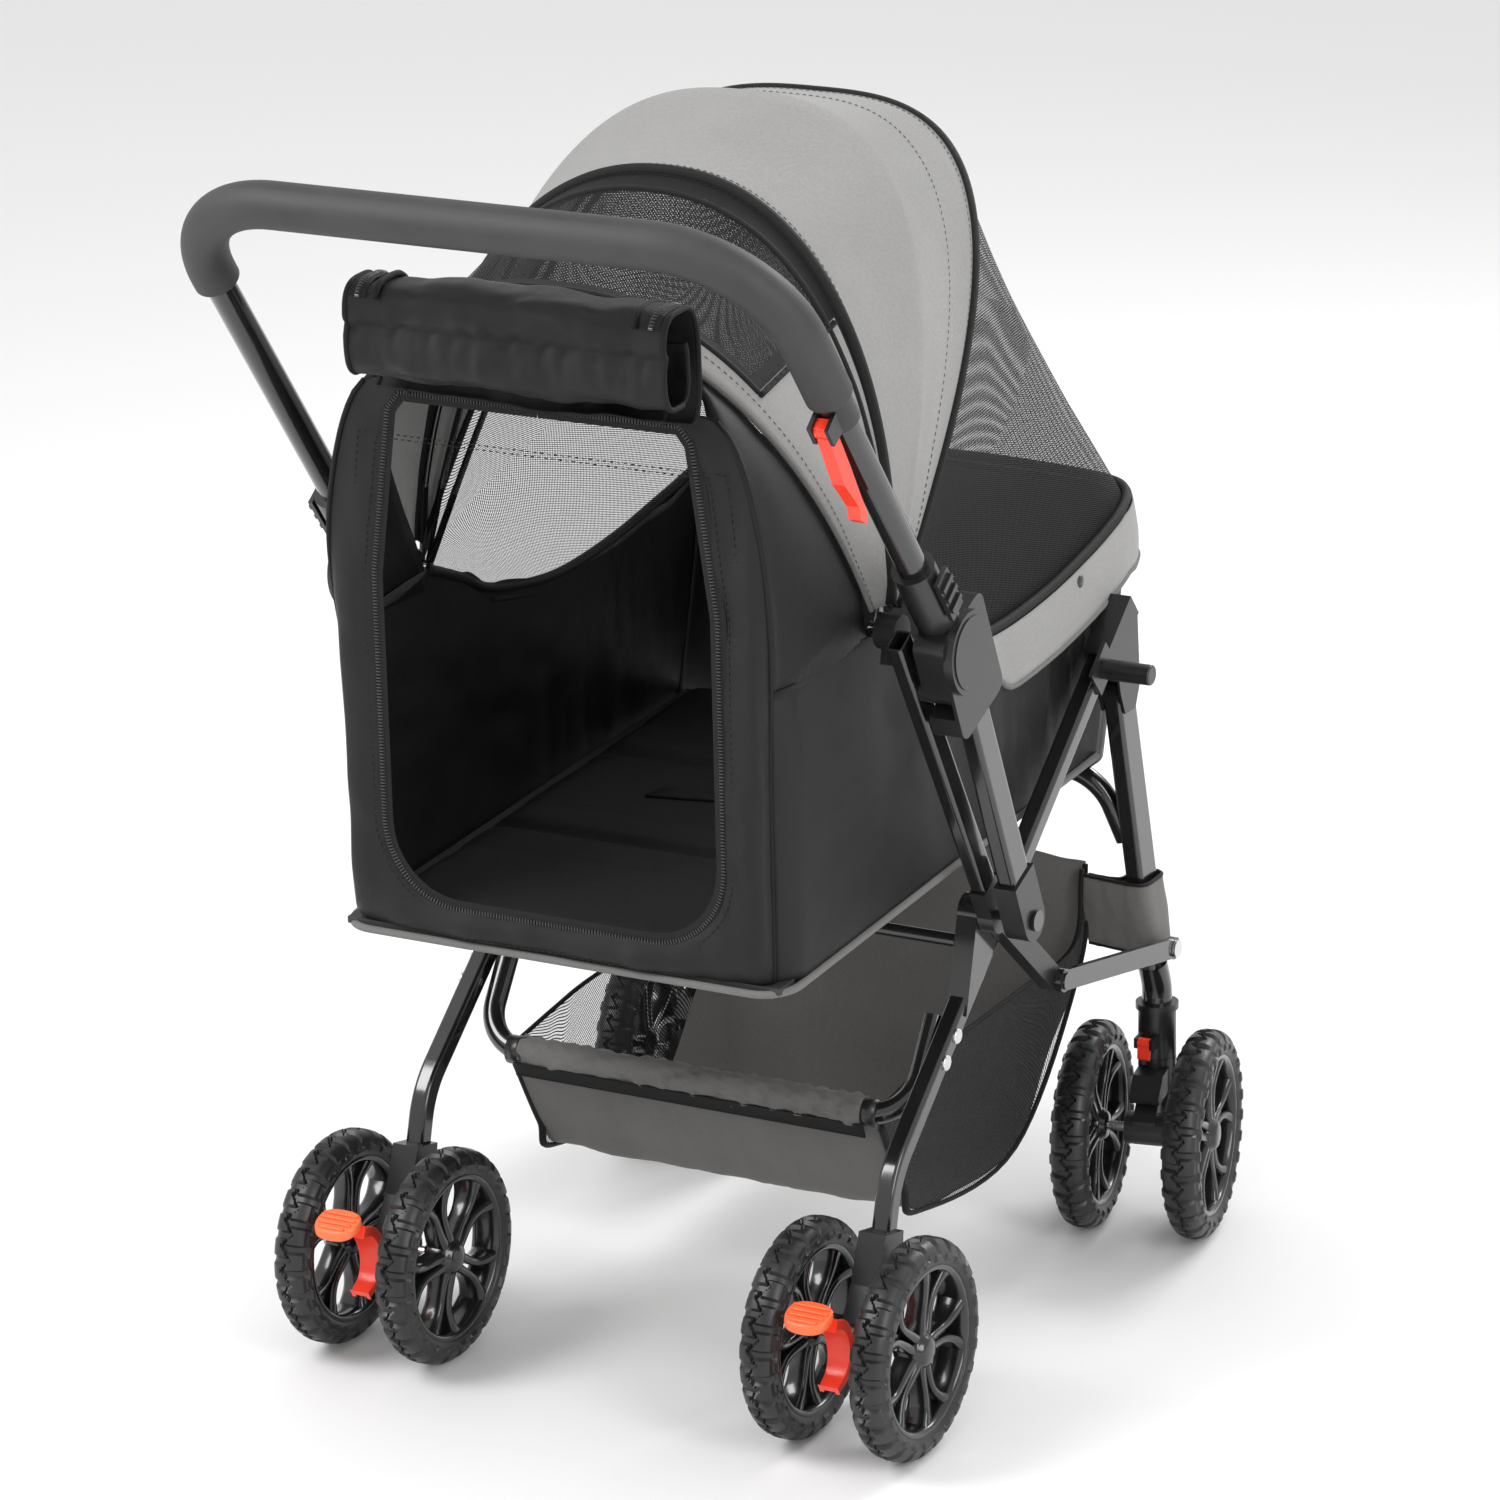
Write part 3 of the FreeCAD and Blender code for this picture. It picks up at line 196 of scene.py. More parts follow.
def netting(name, colour, pitch=0.0026, open_share=0.56):
    """Knitted mesh: threads on a slanted lattice with real holes between them."""
    s = Shader(name)
    split = s.node("ShaderNodeSeparateXYZ")
    s.link(s.node("ShaderNodeTexCoord").outputs["UV"], split.inputs[0])
    side, up = split.outputs[0], split.outputs[1]
    k = math.pi / pitch
    a = s.math("ABSOLUTE", s.math("SINE", s.math("MULTIPLY", s.math("ADD", side, up), k)))
    b = s.math("ABSOLUTE", s.math("SINE", s.math("MULTIPLY", s.math("SUBTRACT", side, up), k)))
    gap = s.math("MINIMUM", a, b)
    thread = s.math("LESS_THAN", gap, open_share)
    s.link(thread, s.bsdf.inputs["Alpha"])
    shade = s.noise(600, 2)
    s.link(s.ramp(shade, [(0.3, tuple(c * 0.7 for c in colour)), (0.7, tuple(c * 1.5 for c in colour))]),
           s.bsdf.inputs["Base Color"])
    s.bump(gap, 0.1, 0.0002)
    s.set(Roughness=0.7, Specular_IOR_Level=0.3)
    return s.mat


def coated(name, colour, rough=0.2, grain=900.0, depth=0.08, coat=0.4, wear=0.0):
    """Paint or moulded plastic: fine grain, uneven gloss, dust, and a little wear."""
    s = Shader(name)
    fine = s.noise(grain, 3)
    cloudy = s.noise(14, 4)
    light = tuple(min(c * 1.5 + 0.006, 1) for c in colour)
    worn = tuple(min(c * 2.2 + 0.03, 1) for c in colour)
    fac = s.math("ADD", s.math("MULTIPLY", fine, 0.3), s.math("MULTIPLY", cloudy, 0.7))
    s.link(s.ramp(fac, [(0.35, colour), (0.62, light), (0.92 - wear, worn)]), s.bsdf.inputs["Base Color"])
    s.link(s.spread(cloudy, rough * 0.7, rough * 1.35), s.bsdf.inputs["Roughness"])
    s.bump(fine, depth, 0.0002)
    s.set(Coat_Weight=coat, Coat_Roughness=0.08)
    return s.mat


def steel(name):
    s = Shader(name)
    fine = s.noise(1500, 3)
    s.link(s.ramp(fine, [(0.3, (0.55, 0.55, 0.54)), (0.7, (0.8, 0.8, 0.79))]), s.bsdf.inputs["Base Color"])
    s.link(s.spread(fine, 0.18, 0.34), s.bsdf.inputs["Roughness"])
    s.bump(fine, 0.05, 0.0001)
    s.set(Metallic=1.0)
    return s.mat


MATERIALS = {
    "frame": coated("black paint", (0.005, 0.005, 0.0055), 0.15, 1400, 0.05, 0.7),
    "plastic": coated("black nylon", (0.007, 0.007, 0.0075), 0.32, 1800, 0.22, 0.1),
    "grip": coated("grip foam", (0.026, 0.026, 0.027), 0.6, 2600, 0.35, 0.0),
    "tyre": coated("tyre foam", (0.0065, 0.0065, 0.007), 0.4, 1600, 0.35, 0.05),
    "rim": coated("rim plastic", (0.005, 0.005, 0.0055), 0.2, 900, 0.1, 0.4),
    "red": coated("red plastic", (0.9, 0.035, 0.012), 0.3, 1500, 0.12, 0.15),
    "orange": coated("orange pad", (0.95, 0.12, 0.035), 0.4, 1500, 0.15, 0.05),
    "steel": steel("bright rivet"),
    "canopy_cloth": cloth("grey canopy cloth", (0.285, 0.282, 0.275), 0.0011, 0.82, 0.1),
    "cabin_cloth": cloth("black oxford cloth", (0.0055, 0.0055, 0.006), 0.0010, 0.44, 0.0, 0.7, 0.35),
    "net": netting("black netting", (0.010, 0.010, 0.011)),
    "binding": cloth("black binding tape", (0.005, 0.005, 0.005), 0.0008, 0.6, 0.0, 0.8),
    "grey_binding": cloth("grey binding tape", (0.16, 0.158, 0.152), 0.0008, 0.8, 0.1, 0.8),
    "pad": cloth("pad cloth", (0.0075, 0.0075, 0.008), 0.0012, 0.6, 0.0, 0.8, 0.3),
    "board": coated("base board", (0.02, 0.02, 0.02), 0.6, 700, 0.2, 0.0),
    "basket_cloth": cloth("basket cloth", (0.145, 0.14, 0.133), 0.0011, 0.85, 0.12),
    "thread": cloth("grey thread", (0.13, 0.128, 0.12), 0.0004, 0.8, 0.1),
    "dark_thread": cloth("black thread", (0.02, 0.02, 0.02), 0.0004, 0.7, 0.0),
    "teeth": coated("zip coil", (0.018, 0.018, 0.019), 0.3, 2000, 0.1, 0.2),
}

SLOT_OF = {entry["node"]: entry["material_slot"] for entry in frame["record"]["subparts"]}


# ================================================================ mesh helpers
def piece(name, verts, faces, slots, body, material=None, smooth=True):
    """A mesh piece riding on a body. slots is one material name or a list of them."""
    mesh = bpy.data.meshes.new(name)
    mesh.from_pydata([tuple(v) for v in verts], [], faces)
    names = [slots] if isinstance(slots, str) else slots
    for slot in names:
        mesh.materials.append(MATERIALS[slot])
    if material:
        mesh.polygons.foreach_set("material_index", material)
    mesh.polygons.foreach_set("use_smooth", [smooth] * len(mesh.polygons))
    mesh.update()
    made = bpy.data.objects.new(name, mesh)
    bpy.context.scene.collection.objects.link(made)
    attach(made, body)
    return made


def bend(obj):
    """Cloth that crosses a joint: it leaves its body, with its world placement baked into the mesh."""
    obj.parent = None
    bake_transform(obj)


def grid(rows, closed=False):
    """Vertices and quads of a grid given as rows of points; closed joins each row's ends."""
    verts = [p for row in rows for p in row]
    width = len(rows[0])
    faces = []
    span = width if closed else width - 1
    for i in range(len(rows) - 1):
        for j in range(span):
            k = (j + 1) % width
            faces.append((i * width + j, i * width + k, (i + 1) * width + k, (i + 1) * width + j))
    return verts, faces


def lay_flat(obj, rows):
    """UV layout in metres along and across a grid, so that the netting's pitch is true."""
    width = len(rows[0])
    middle = width // 2
    along = []
    across = []
    for i, row in enumerate(rows):
        run = [0.0]
        for a, b in zip(row, row[1:]):
            run.append(run[-1] + (b - a).length)
        along.append([r - run[middle] for r in run])
        if i == 0:
            across.append([0.0] * width)
        else:
            across.append([across[-1][j] + (row[j] - rows[i - 1][j]).length for j in range(width)])
    flat = obj.data.uv_layers.new(name="flat")
    for loop in obj.data.loops:
        i, j = divmod(loop.vertex_index, width)
        flat.data[loop.index].uv = (along[i][j], across[i][j])


def thicken(obj, thickness, offset=0.0):
    mod = obj.modifiers.new("thickness", "SOLIDIFY")
    mod.thickness = thickness
    mod.offset = offset
    bake(obj)


def bake(obj):
    """Applies the modifiers so that the piece is a plain mesh."""
    graph = bpy.context.evaluated_depsgraph_get()
    mesh = bpy.data.meshes.new_from_object(obj.evaluated_get(graph))
    obj.modifiers.clear()
    obj.data = mesh


def round_edges(obj, width, segments=2):
    mod = obj.modifiers.new("soft edges", "BEVEL")
    mod.width = width
    mod.segments = segments
    mod.limit_method = "ANGLE"
    mod.angle_limit = math.radians(35)
    mod.harden_normals = False


def tube_parts(points, radius, sides=10, closed=False, flat=1.0, wobble=0.0):
    """Rings of a tube that follows a line of points without twisting."""
    count = len(points)
    rings = []
    last = None
    for i, p in enumerate(points):
        a = points[(i - 1) % count] if closed or i else points[0]
        b = points[(i + 1) % count] if closed or i < count - 1 else points[-1]
        along = (b - a).normalized()
        if last is None:
            last = along.orthogonal().normalized()
        last = (last - along * last.dot(along)).normalized()
        cross = along.cross(last)
        ring = []
        for j in range(sides):
            t = 2 * math.pi * j / sides
            size = radius * (1 + wobble * noise.noise(p * 90 + Vector((j, 0, 0))))
            ring.append(p + last * math.cos(t) * size + cross * math.sin(t) * size * flat)
        rings.append(ring)
    return rings


def tube(name, points, radius, slots, body, sides=10, closed=False, flat=1.0, wobble=0.0):
    rings = tube_parts(points, radius, sides, closed, flat, wobble)
    if closed:
        rings.append(rings[0])
    verts, faces = grid(rings, True)
    if not closed:
        faces.append(tuple(range(sides))[::-1])
        base = (len(rings) - 1) * sides
        faces.append(tuple(base + j for j in range(sides)))
    return piece(name, verts, faces, slots, body)


def resample(points, step):
    """Points at an even spacing along a polyline."""
    out = [points[0]]
    left = step
    for a, b in zip(points, points[1:]):
        length = (b - a).length
        done = 0.0
        while length - done >= left:
            done += left
            out.append(a.lerp(b, done / length))
            left = step
        left -= length - done
    return out


def smooth_line(corners, steps=8):
    """Catmull-Rom line through the corners."""
    pts = [corners[0] * 2 - corners[1], *corners, corners[-1] * 2 - corners[-2]]
    out = []
    for i in range(1, len(pts) - 2):
        a, b, c, d = pts[i - 1:i + 3]
        for k in range(steps):
            t = k / steps
            out.append(0.5 * ((2 * b) + (c - a) * t + (2 * a - 5 * b + 4 * c - d) * t * t
                              + (3 * b - a - 3 * c + d) * t ** 3))
    out.append(corners[-1])
    return out


def stitch_parts(points, normal, length=0.0034, gap=0.0022, radius=0.00042):
    """Short raised threads along a line; normal(point) gives the cloth's outward direction."""
    verts = []
    faces = []
    line = resample(points, (length + gap) / 2)
    for i in range(0, len(line) - 1, 2):
        a, b = line[i], line[i + 1]
        along = (b - a).normalized()
        out = normal(a)
        cross = along.cross(out).normalized()
        base = len(verts)
        middle = (a + b) / 2 + out * radius * 1.4
        for p in (a, middle, b):
            for j in range(4):
                t = math.pi / 2 * j
                verts.append(p + cross * math.cos(t) * radius + out * math.sin(t) * radius)
        for r in (0, 4):
            for j in range(4):
                k = (j + 1) % 4
                faces.append((base + r + j, base + r + k, base + r + 4 + k, base + r + 4 + j))
    return verts, faces


def stitches(name, points, normal, slot, body, **sizes):
    verts, faces = stitch_parts(points, normal, **sizes)
    return piece(name, verts, faces, slot, body)


def zip_parts(points, normal, width=0.013, pitch=0.0024):
    """Zip tape with its coil: a flat band and a row of small blocks down its middle."""
    line = resample(points, 0.004)
    rows = []
    for i, p in enumerate(line):
        along = (line[min(i + 1, len(line) - 1)] - line[max(i - 1, 0)]).normalized()
        out = normal(p)
        cross = along.cross(out).normalized()
        rows.append([p + cross * (width / 2) * s + out * h
                     for s, h in ((-1, 0.0002), (-0.35, 0.0009), (0.35, 0.0009), (1, 0.0002))])
    verts, faces = grid(rows)
    index = [0] * len(faces)
    teeth = resample(points, pitch)
    for i in range(len(teeth) - 1):
        p = teeth[i]
        along = (teeth[i + 1] - p).normalized()
        out = normal(p)
        cross = along.cross(out).normalized()
        base = len(verts)
        for s, t, h in ((-1, -1, 0), (1, -1, 0), (1, 1, 0), (-1, 1, 0), (-0.7, -0.6, 1), (0.7, -0.6, 1),
                        (0.7, 0.6, 1), (-0.7, 0.6, 1)):
            verts.append(p + cross * s * 0.0021 + along * t * pitch * 0.32 + out * (0.0009 + h * 0.0012))
        for face in ((4, 5, 6, 7), (0, 1, 5, 4), (1, 2, 6, 5), (2, 3, 7, 6), (3, 0, 4, 7)):
            faces.append(tuple(base + f for f in face))
            index.append(1)
    return verts, faces, index


def zipper(name, points, normal, body):
    verts, faces, index = zip_parts(points, normal)
    return piece(name, verts, faces, ["binding", "teeth"], body, index, smooth=False)


def strip(name, line, across, width, thickness, slot, body, lift=0.0006):
    """Flat webbing or binding that lies along a line; across(point, i) gives its width direction."""
    rows = []
    for i, p in enumerate(line):
        along = (line[min(i + 1, len(line) - 1)] - line[max(i - 1, 0)]).normalized()
        side = across(p, i).normalized()
        out = side.cross(along).normalized()
        rows.append([p + side * width * s / 2 + out * (lift if abs(s) < 0.9 else 0)
                     for s in (-1, -0.8, 0, 0.8, 1)])
    verts, faces = grid(rows)
    made = piece(name, verts, faces, slot, body)
    thicken(made, thickness)
    return made


def lathe(profile, steps):
    """Verts and faces of a profile of (along, radius) turned about X."""
    rows = []
    for i in range(steps):
        t = 2 * math.pi * i / steps
        rows.append([Vector((a, r * math.cos(t), r * math.sin(t))) for a, r in profile])
    rows.append(rows[0])
    verts = [p for row in rows[:-1] for p in row]
    width = len(profile)
    faces = []
    for i in range(steps):
        n = (i + 1) % steps
        for j in range(width - 1):
            faces.append((i * width + j, i * width + j + 1, n * width + j + 1, n * width + j))
    return verts, faces


def join_parts(parts):
    verts = []
    faces = []
    index = []
    for part in parts:
        base = len(verts)
        verts += part[0]
        faces += [tuple(base + f for f in face) for face in part[1]]
        index += [part[2]] * len(part[1]) if isinstance(part[2], int) else part[2]
    return verts, faces, index


# ================================================================ hard parts carried over from the frame
BEVEL = {
    "latch_housings": 0.0016, "rear_axle_housings": 0.0018, "upright_feet": 0.002, "handle_end_caps": 0.002,
    "front_hinge_brackets": 0.0016, "upright_brackets": 0.0012, "caster_sockets": 0.001, "fold_links": 0.0008,
    "lever_mount": 0.0007, "release_lever": 0.0014, "floor_board": 0.001,
}
for node, obj in frame["nodes"].items():
    obj.data.materials.clear()
    obj.data.materials.append(MATERIALS[SLOT_OF[node]])
    width = BEVEL.get(node)
    if node.startswith(("caster_fork", "swivel_lock", "brake_pedal", "latch_slider")):
        width = 0.0012
    if width:
        round_edges(obj, width)


# ================================================================ wheels
HALF_SPACING = 0.0445


def tyre_mesh():
    """Foam tyre with staggered blocks on the crown, a zigzag centre groove and shoulder lugs."""
    blocks = 26
    per = 10
    steps = blocks * per
    half = 0.0142
    profile = []
    for k in range(33):
        w = -1 + 2 * k / 32
        base = 0.0797 - 0.0075 * abs(w) ** 3.2
        profile.append((w * half, base, w))
    rows = []
    for i in range(steps):
        f = (i / per) % 1
        zig = 0.26 * (4 * abs(f - 0.5) - 1)
        row = []
        t = 2 * math.pi * i / steps
        for a, base, w in profile:
            phase = (f + (0.5 if w > zig else 0.0) + 0.1 * abs(w)) % 1
            groove = abs(w - zig) < 0.07
            block = phase > 0.3 and not groove
            rise = 0.0 if not block else 0.0028
            if abs(w) > 0.93:
                rise *= 0.4
            row.append(Vector((a, (base + rise) * math.cos(t), (base + rise) * math.sin(t))))
        # side walls down to the rim, with small lugs under the shoulder
        lug = 0.0013 if ((i / per) % 1) > 0.45 else 0.0
        for sign, place in ((1, len(row)), (-1, 0)):
            wall = []
            for a, r in ((0.0146 + lug, 0.0715), (0.0146 + lug, 0.0688), (0.0140, 0.0668), (0.0128, 0.0645),
                         (0.0115, 0.0632)):
                wall.append(Vector((sign * a, r * math.cos(t), r * math.sin(t))))
            if sign > 0:
                row += wall
            else:
                row = wall[::-1] + row
        rows.append(row)
    width = len(rows[0])
    verts = [p for row in rows for p in row]
    faces = []
    for i in range(steps):
        n = (i + 1) % steps
        for j in range(width - 1):
            faces.append((i * width + j, i * width + j + 1, n * width + j + 1, n * width + j))
    mesh = bpy.data.meshes.new("tyre")
    mesh.from_pydata([tuple(v) for v in verts], [], faces)
    mesh.materials.append(MATERIALS["tyre"])
    mesh.polygons.foreach_set("use_smooth", [False] * len(mesh.polygons))
    mesh.update()
    return mesh


def rim_mesh():
    """Barrel with lips, five twin spokes that curve in, and a domed hub cap on each side."""
    barrel = lathe([
        (-0.0122, 0.0636), (-0.0126, 0.0622), (-0.0120, 0.0604), (-0.0100, 0.0590), (-0.0060, 0.0580),
        (0.0060, 0.0580), (0.0100, 0.0590), (0.0120, 0.0604), (0.0126, 0.0622), (0.0122, 0.0636),
    ], 96)
    parts = [(barrel[0], barrel[1], 0)]
    dome = [
        (0.0140, 0.0), (0.0139, 0.004), (0.0132, 0.0085), (0.0118, 0.0108),
        (0.0100, 0.0116), (0.0092, 0.0128), (0.0076, 0.0142), (0.0050, 0.0150),
    ]
    hub = [(-a, r) for a, r in dome] + dome[::-1]
    cap = lathe(hub, 40)
    parts.append((cap[0], cap[1], 0))
    for spoke in range(5):
        for side in (-1, 1):
            rows = []
            for k in range(11):
                f = k / 10
                r = mix(0.0125, 0.0592, f)
                turn = (2 * math.pi * spoke / 5
                        + side * math.radians(mix(17.0, 15.5, f) - 8.0 * math.sin(math.pi * f)))
                half_w = mix(0.0030, 0.0040, abs(2 * f - 1)) * (1.0 + 0.35 * smoothstep((f - 0.8) / 0.2))
                depth = mix(0.0086, 0.0104, f) - 0.0022 * math.sin(math.pi * f)
                radial = Vector((0, math.cos(turn), math.sin(turn)))
                tangent = Vector((0, -math.sin(turn), math.cos(turn)))
                middle = radial * r
                ring = []
                for w, a in ((-1, -0.72), (-0.72, -1), (0.72, -1), (1, -0.72),
                             (1, 0.72), (0.72, 1), (-0.72, 1), (-1, 0.72)):
                    ring.append(middle + tangent * w * half_w + Vector((a * depth, 0, 0)))
                rows.append(ring)
            verts, faces = grid(rows, True)
            parts.append((verts, faces, 0))
    verts, faces, index = join_parts(parts)
    mesh = bpy.data.meshes.new("rim")
    mesh.from_pydata([tuple(v) for v in verts], [], faces)
    mesh.materials.append(MATERIALS["rim"])
    mesh.polygons.foreach_set("use_smooth", [True] * len(mesh.polygons))
    mesh.update()
    return mesh


TYRE = tyre_mesh()
RIM = rim_mesh()
for group, body_x, y, turn in (("rear", 199.0, 0.0, 0.0), ("front", 205.0, 460.588, 11.0)):
    for side, name in ((1, "right"), (-1, "left")):
        body = f"{group}_wheels_{name}"
        shift = 6.106 if group == "front" else 0.0
        centre = at(side * body_x + shift, y, 82.5)
        axis = Vector((math.cos(math.radians(turn)), math.sin(math.radians(turn)), 0))
        for index, offset in enumerate((-HALF_SPACING, HALF_SPACING)):
            for kind, mesh in (("tyre", TYRE), ("rim", RIM)):
                made = bpy.data.objects.new(f"{kind}_{group}_{name}_{index}", mesh.copy())
                bpy.context.scene.collection.objects.link(made)
                angle = math.radians(23 + 31 * index + 17 * side + 9 * (group == "front"))
                spin = Matrix.Rotation(angle, 4, "X")
                made.data.transform(Matrix.Translation(centre + axis * offset)
                                    @ Matrix.Rotation(math.radians(turn), 4, "Z") @ spin)
                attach(made, body)
                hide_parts(("tyres_" if kind == "tyre" else "rims_") + f"{group}_{name}")


# ================================================================ canopy
def hoop_point(shape, turn, inset=0.0):
    half, height, square, tilt = shape
    cosine, sine = math.cos(turn), math.sin(turn)
    size = (abs(cosine) ** square + sine ** square) ** (1 / square)
    reach = (height - inset) * sine / size
    angle = math.radians(tilt)
    return at((half - inset) * cosine / size,
              PIVOT[0] + reach * math.cos(angle), PIVOT[1] + reach * math.sin(angle))


def hoop_start(shape):
    share = ROOT / shape[1]
    return math.atan(share / (1 - share ** shape[2]) ** (1 / shape[2]))


HOOPS = [HEM, REAR, MIDDLE, FRONT]


def canopy_point(t, a, inset=0.0):
    """Point of the canopy: t runs 0 to 3 from the hem to the front hoop, a runs 0 to 1 from right to left."""
    low = min(int(t), 2)
    f = t - low
    ends = []
    for shape in (HOOPS[low], HOOPS[low + 1]):
        start = hoop_start(shape)
        ends.append(hoop_point(shape, start + (math.pi - 2 * start) * a, inset))
    p = ends[0].lerp(ends[1], f)
    centre = at(0, PIVOT[0], PIVOT[1])
    inward = (centre - p).normalized()
    span = (ends[1] - ends[0]).length
    sag = (0.030 if low else 0.014) * span * 4 * f * (1 - f)
    folds = noise.noise(Vector((a * 7 + 3, t * 2.1, 5))) * 0.0016
    folds += noise.noise(Vector((a * 26, t * 1.2, 9))) * 0.0011 * (1 - math.sin(math.pi * a))
    edge = min(1.0, 6 * min(f, 1 - f))
    return p + inward * (sag + folds * edge)


def canopy_normal(p):
    out = p - at(p.x * 500, PIVOT[0] + 30, PIVOT[1] + 40)
    return out.normalized()


WINDOW = (0.235, 0.765)


def canopy_sheet():
    columns = 132
    ts = [i / 18 for i in range(18)] + [1 + i / 12 for i in range(12)] + [2 + i / 14 for i in range(15)]
    rows = [[canopy_point(t, j / columns) for j in range(columns + 1)] for t in ts]
    verts, faces = grid(rows)
    index = []
    for i in range(len(ts) - 1):
        t = (ts[i] + ts[i + 1]) / 2
        for j in range(columns):
            a = (j + 0.5) / columns
            kind = 0
            if t < 1:
                inside = WINDOW[0] < a < WINDOW[1]
                near = min(a - WINDOW[0], WINDOW[1] - a)
                if inside and 0.16 < t < 0.93:
                    kind = 1 if near > 0.012 and 0.2 < t < 0.88 else 2
                elif t >= 0.93:
                    kind = 2
            index.append(kind)
    made = piece("canopy_sheet", verts, faces, ["canopy_cloth", "net", "binding"], "uprights", index)
    lay_flat(made, rows)
    thicken(made, 0.0012, 0)
    return made


canopy = canopy_sheet()
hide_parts("canopy_cover")
canopy_pieces = [canopy]


def canopy_line(t, steps=150, inset=0.0, low=0.0, high=1.0):
    return [canopy_point(t, low + (high - low) * j / steps, inset) for j in range(steps + 1)]


canopy_pieces.append(tube("arch_piping", canopy_line(1.0), 0.0050, "binding", "uprights", 10))
canopy_pieces.append(tube("arch_welt", canopy_line(0.88), 0.0024, "binding", "uprights", 8))
canopy_pieces.append(tube("front_hood_binding", canopy_line(3.0), 0.0036, "binding", "uprights", 8))
canopy_pieces.append(tube("hem_piping", canopy_line(0.0), 0.0019, "grey_binding", "uprights", 8))
HOOD_STITCHES = (
    (0.11, "thread"), (0.965, "dark_thread"), (1.07, "thread"), (2.60, "thread"), (2.93, "thread"),
)
for number, (t, slot) in enumerate(HOOD_STITCHES):
    line = [p + canopy_normal(p) * 0.0009 for p in canopy_line(t)]
    canopy_pieces.append(stitches(f"hood_stitch_{number}", line, canopy_normal, slot, "uprights"))
for number, a in enumerate(WINDOW):
    line = [canopy_point(0.16 + 0.77 * i / 16, a) for i in range(17)]
    canopy_pieces.append(strip(
        f"window_end_{number}", line, lambda p, i: Vector((0.35, 0, 1)).cross(Vector((0, 1, 0))),
        0.010, 0.0016, "binding", "uprights"))
line = canopy_line(0.17, 90, 0.0, WINDOW[0], WINDOW[1])
canopy_pieces.append(tube("window_binding", line, 0.0028, "binding", "uprights", 8, flat=1.0))

for obj in canopy_pieces:
    bend(obj)


# ================================================================ netting between the hood and the rail
def rail_point(a, drop=0.0, spread=0.0):
    """The cabin's front rail, a from 0 at the right pivot round the front to 1 at the left."""
    corners = [(62, 600, 183), (106, 582, 183), (150, 562, 183), (240, 547, 184), (330, 551, 185),
               (420, 566, 185), (482, 580, 181), (517, 586, 166), (532, 588, 133), (536, 590, 60),
               (537, 590, 0)]
    full = corners + [(y, z, -x) for y, z, x in reversed(corners[:-1])]
    place = a * (len(full) - 1)
    i = min(int(place), len(full) - 2)
    f = place - i
    pts = [full[max(i - 1, 0)], full[i], full[i + 1], full[min(i + 2, len(full) - 1)]]
    out = []
    for c in range(3):
        p0, p1, p2, p3 = (q[c] for q in pts)
        out.append(0.5 * (2 * p1 + (p2 - p0) * f + (2 * p0 - 5 * p1 + 4 * p2 - p3) * f * f
                          + (3 * p1 - p0 - 3 * p2 + p3) * f ** 3))
    y, z, x = out
    scale = 1 + spread / 180
    return at(x * scale, y + spread * (y > 480), z - drop)


def net_dome(name, low_share, high_share):
    columns = 96
    lines = 14
    rows = []
    for i in range(lines + 1):
        f = mix(low_share, high_share, i / lines)
        row = []
        for j in range(columns + 1):
            a = j / columns
            start = hoop_start(FRONT)
            top = hoop_point(FRONT, start + (math.pi - 2 * start) * a, 1.0)
            low = rail_point(a, 0.0, -3.0)
            p = top.lerp(low, f)
            bulge = 0.010 * math.sin(math.pi * f) * math.sin(math.pi * a) ** 0.5
            p.y -= bulge * 1.4
            p.z += bulge * 0.2 + 0.002 * noise.noise(Vector((a * 9, f * 4, 2)))
            row.append(p)
        rows.append(row)
    verts, faces = grid(rows)
    made = piece(name, verts, faces, "net", "uprights")
    lay_flat(made, rows)
    return made


net_top = net_dome("net_dome_upper", 0.0, 0.5)
net_low = net_dome("net_dome_lower", 0.5, 1.0)
for net in (net_top, net_low):
    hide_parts("canopy_mesh")
bend(net_top)
bend(net_low)


# ================================================================ cabin
def side_half(z):
    """Half width of the rear wall, drawn in above the shoulder."""
    if z <= SHOULDER:
        return CABIN_HALF
    share = min((z - SHOULDER) / (TOP_Z - SHOULDER), 1)
    return TOP_HALF + (CABIN_HALF - TOP_HALF) * math.sqrt(1 - share * share)


def corner_round(z):
    """How far the rear corners are rounded off, most at the floor."""
    return 13.0 * smoothstep((690 - z) / 180)


def floor_z(y):
    return 367 + (y + 73) * 29 / 513


cabin_pieces = []


def door_loop(count=200, grow=0.0):
    """Outline of the rear door: straight sides, rounded lower corners, slightly narrower at the top."""
    pts = []
    half, low, high = DOOR_HALF + grow, DOOR_BOTTOM - grow, DOOR_TOP + grow
    top_half, r = DOOR_TOP_HALF + grow, DOOR_CORNER + grow
    pts.append((0, high))
    pts.append((top_half - 10, high))
    pts.append((top_half, high - 12))
    pts.append((half, 640))
    pts.append((half, low + r))
    for k in range(1, 9):
        t = math.pi / 2 * k / 8
        pts.append((half - r + r * math.cos(t), low + r - r * math.sin(t)))
    pts.append((0, low))
    left = [(-x, z) for x, z in reversed(pts[1:-1])]
    full = [Vector((x, 0, z)) for x, z in pts + left]
    full.append(full[0])
    length = sum((b - a).length for a, b in zip(full, full[1:]))
    line = resample(full, length / count)
    return line[:count]


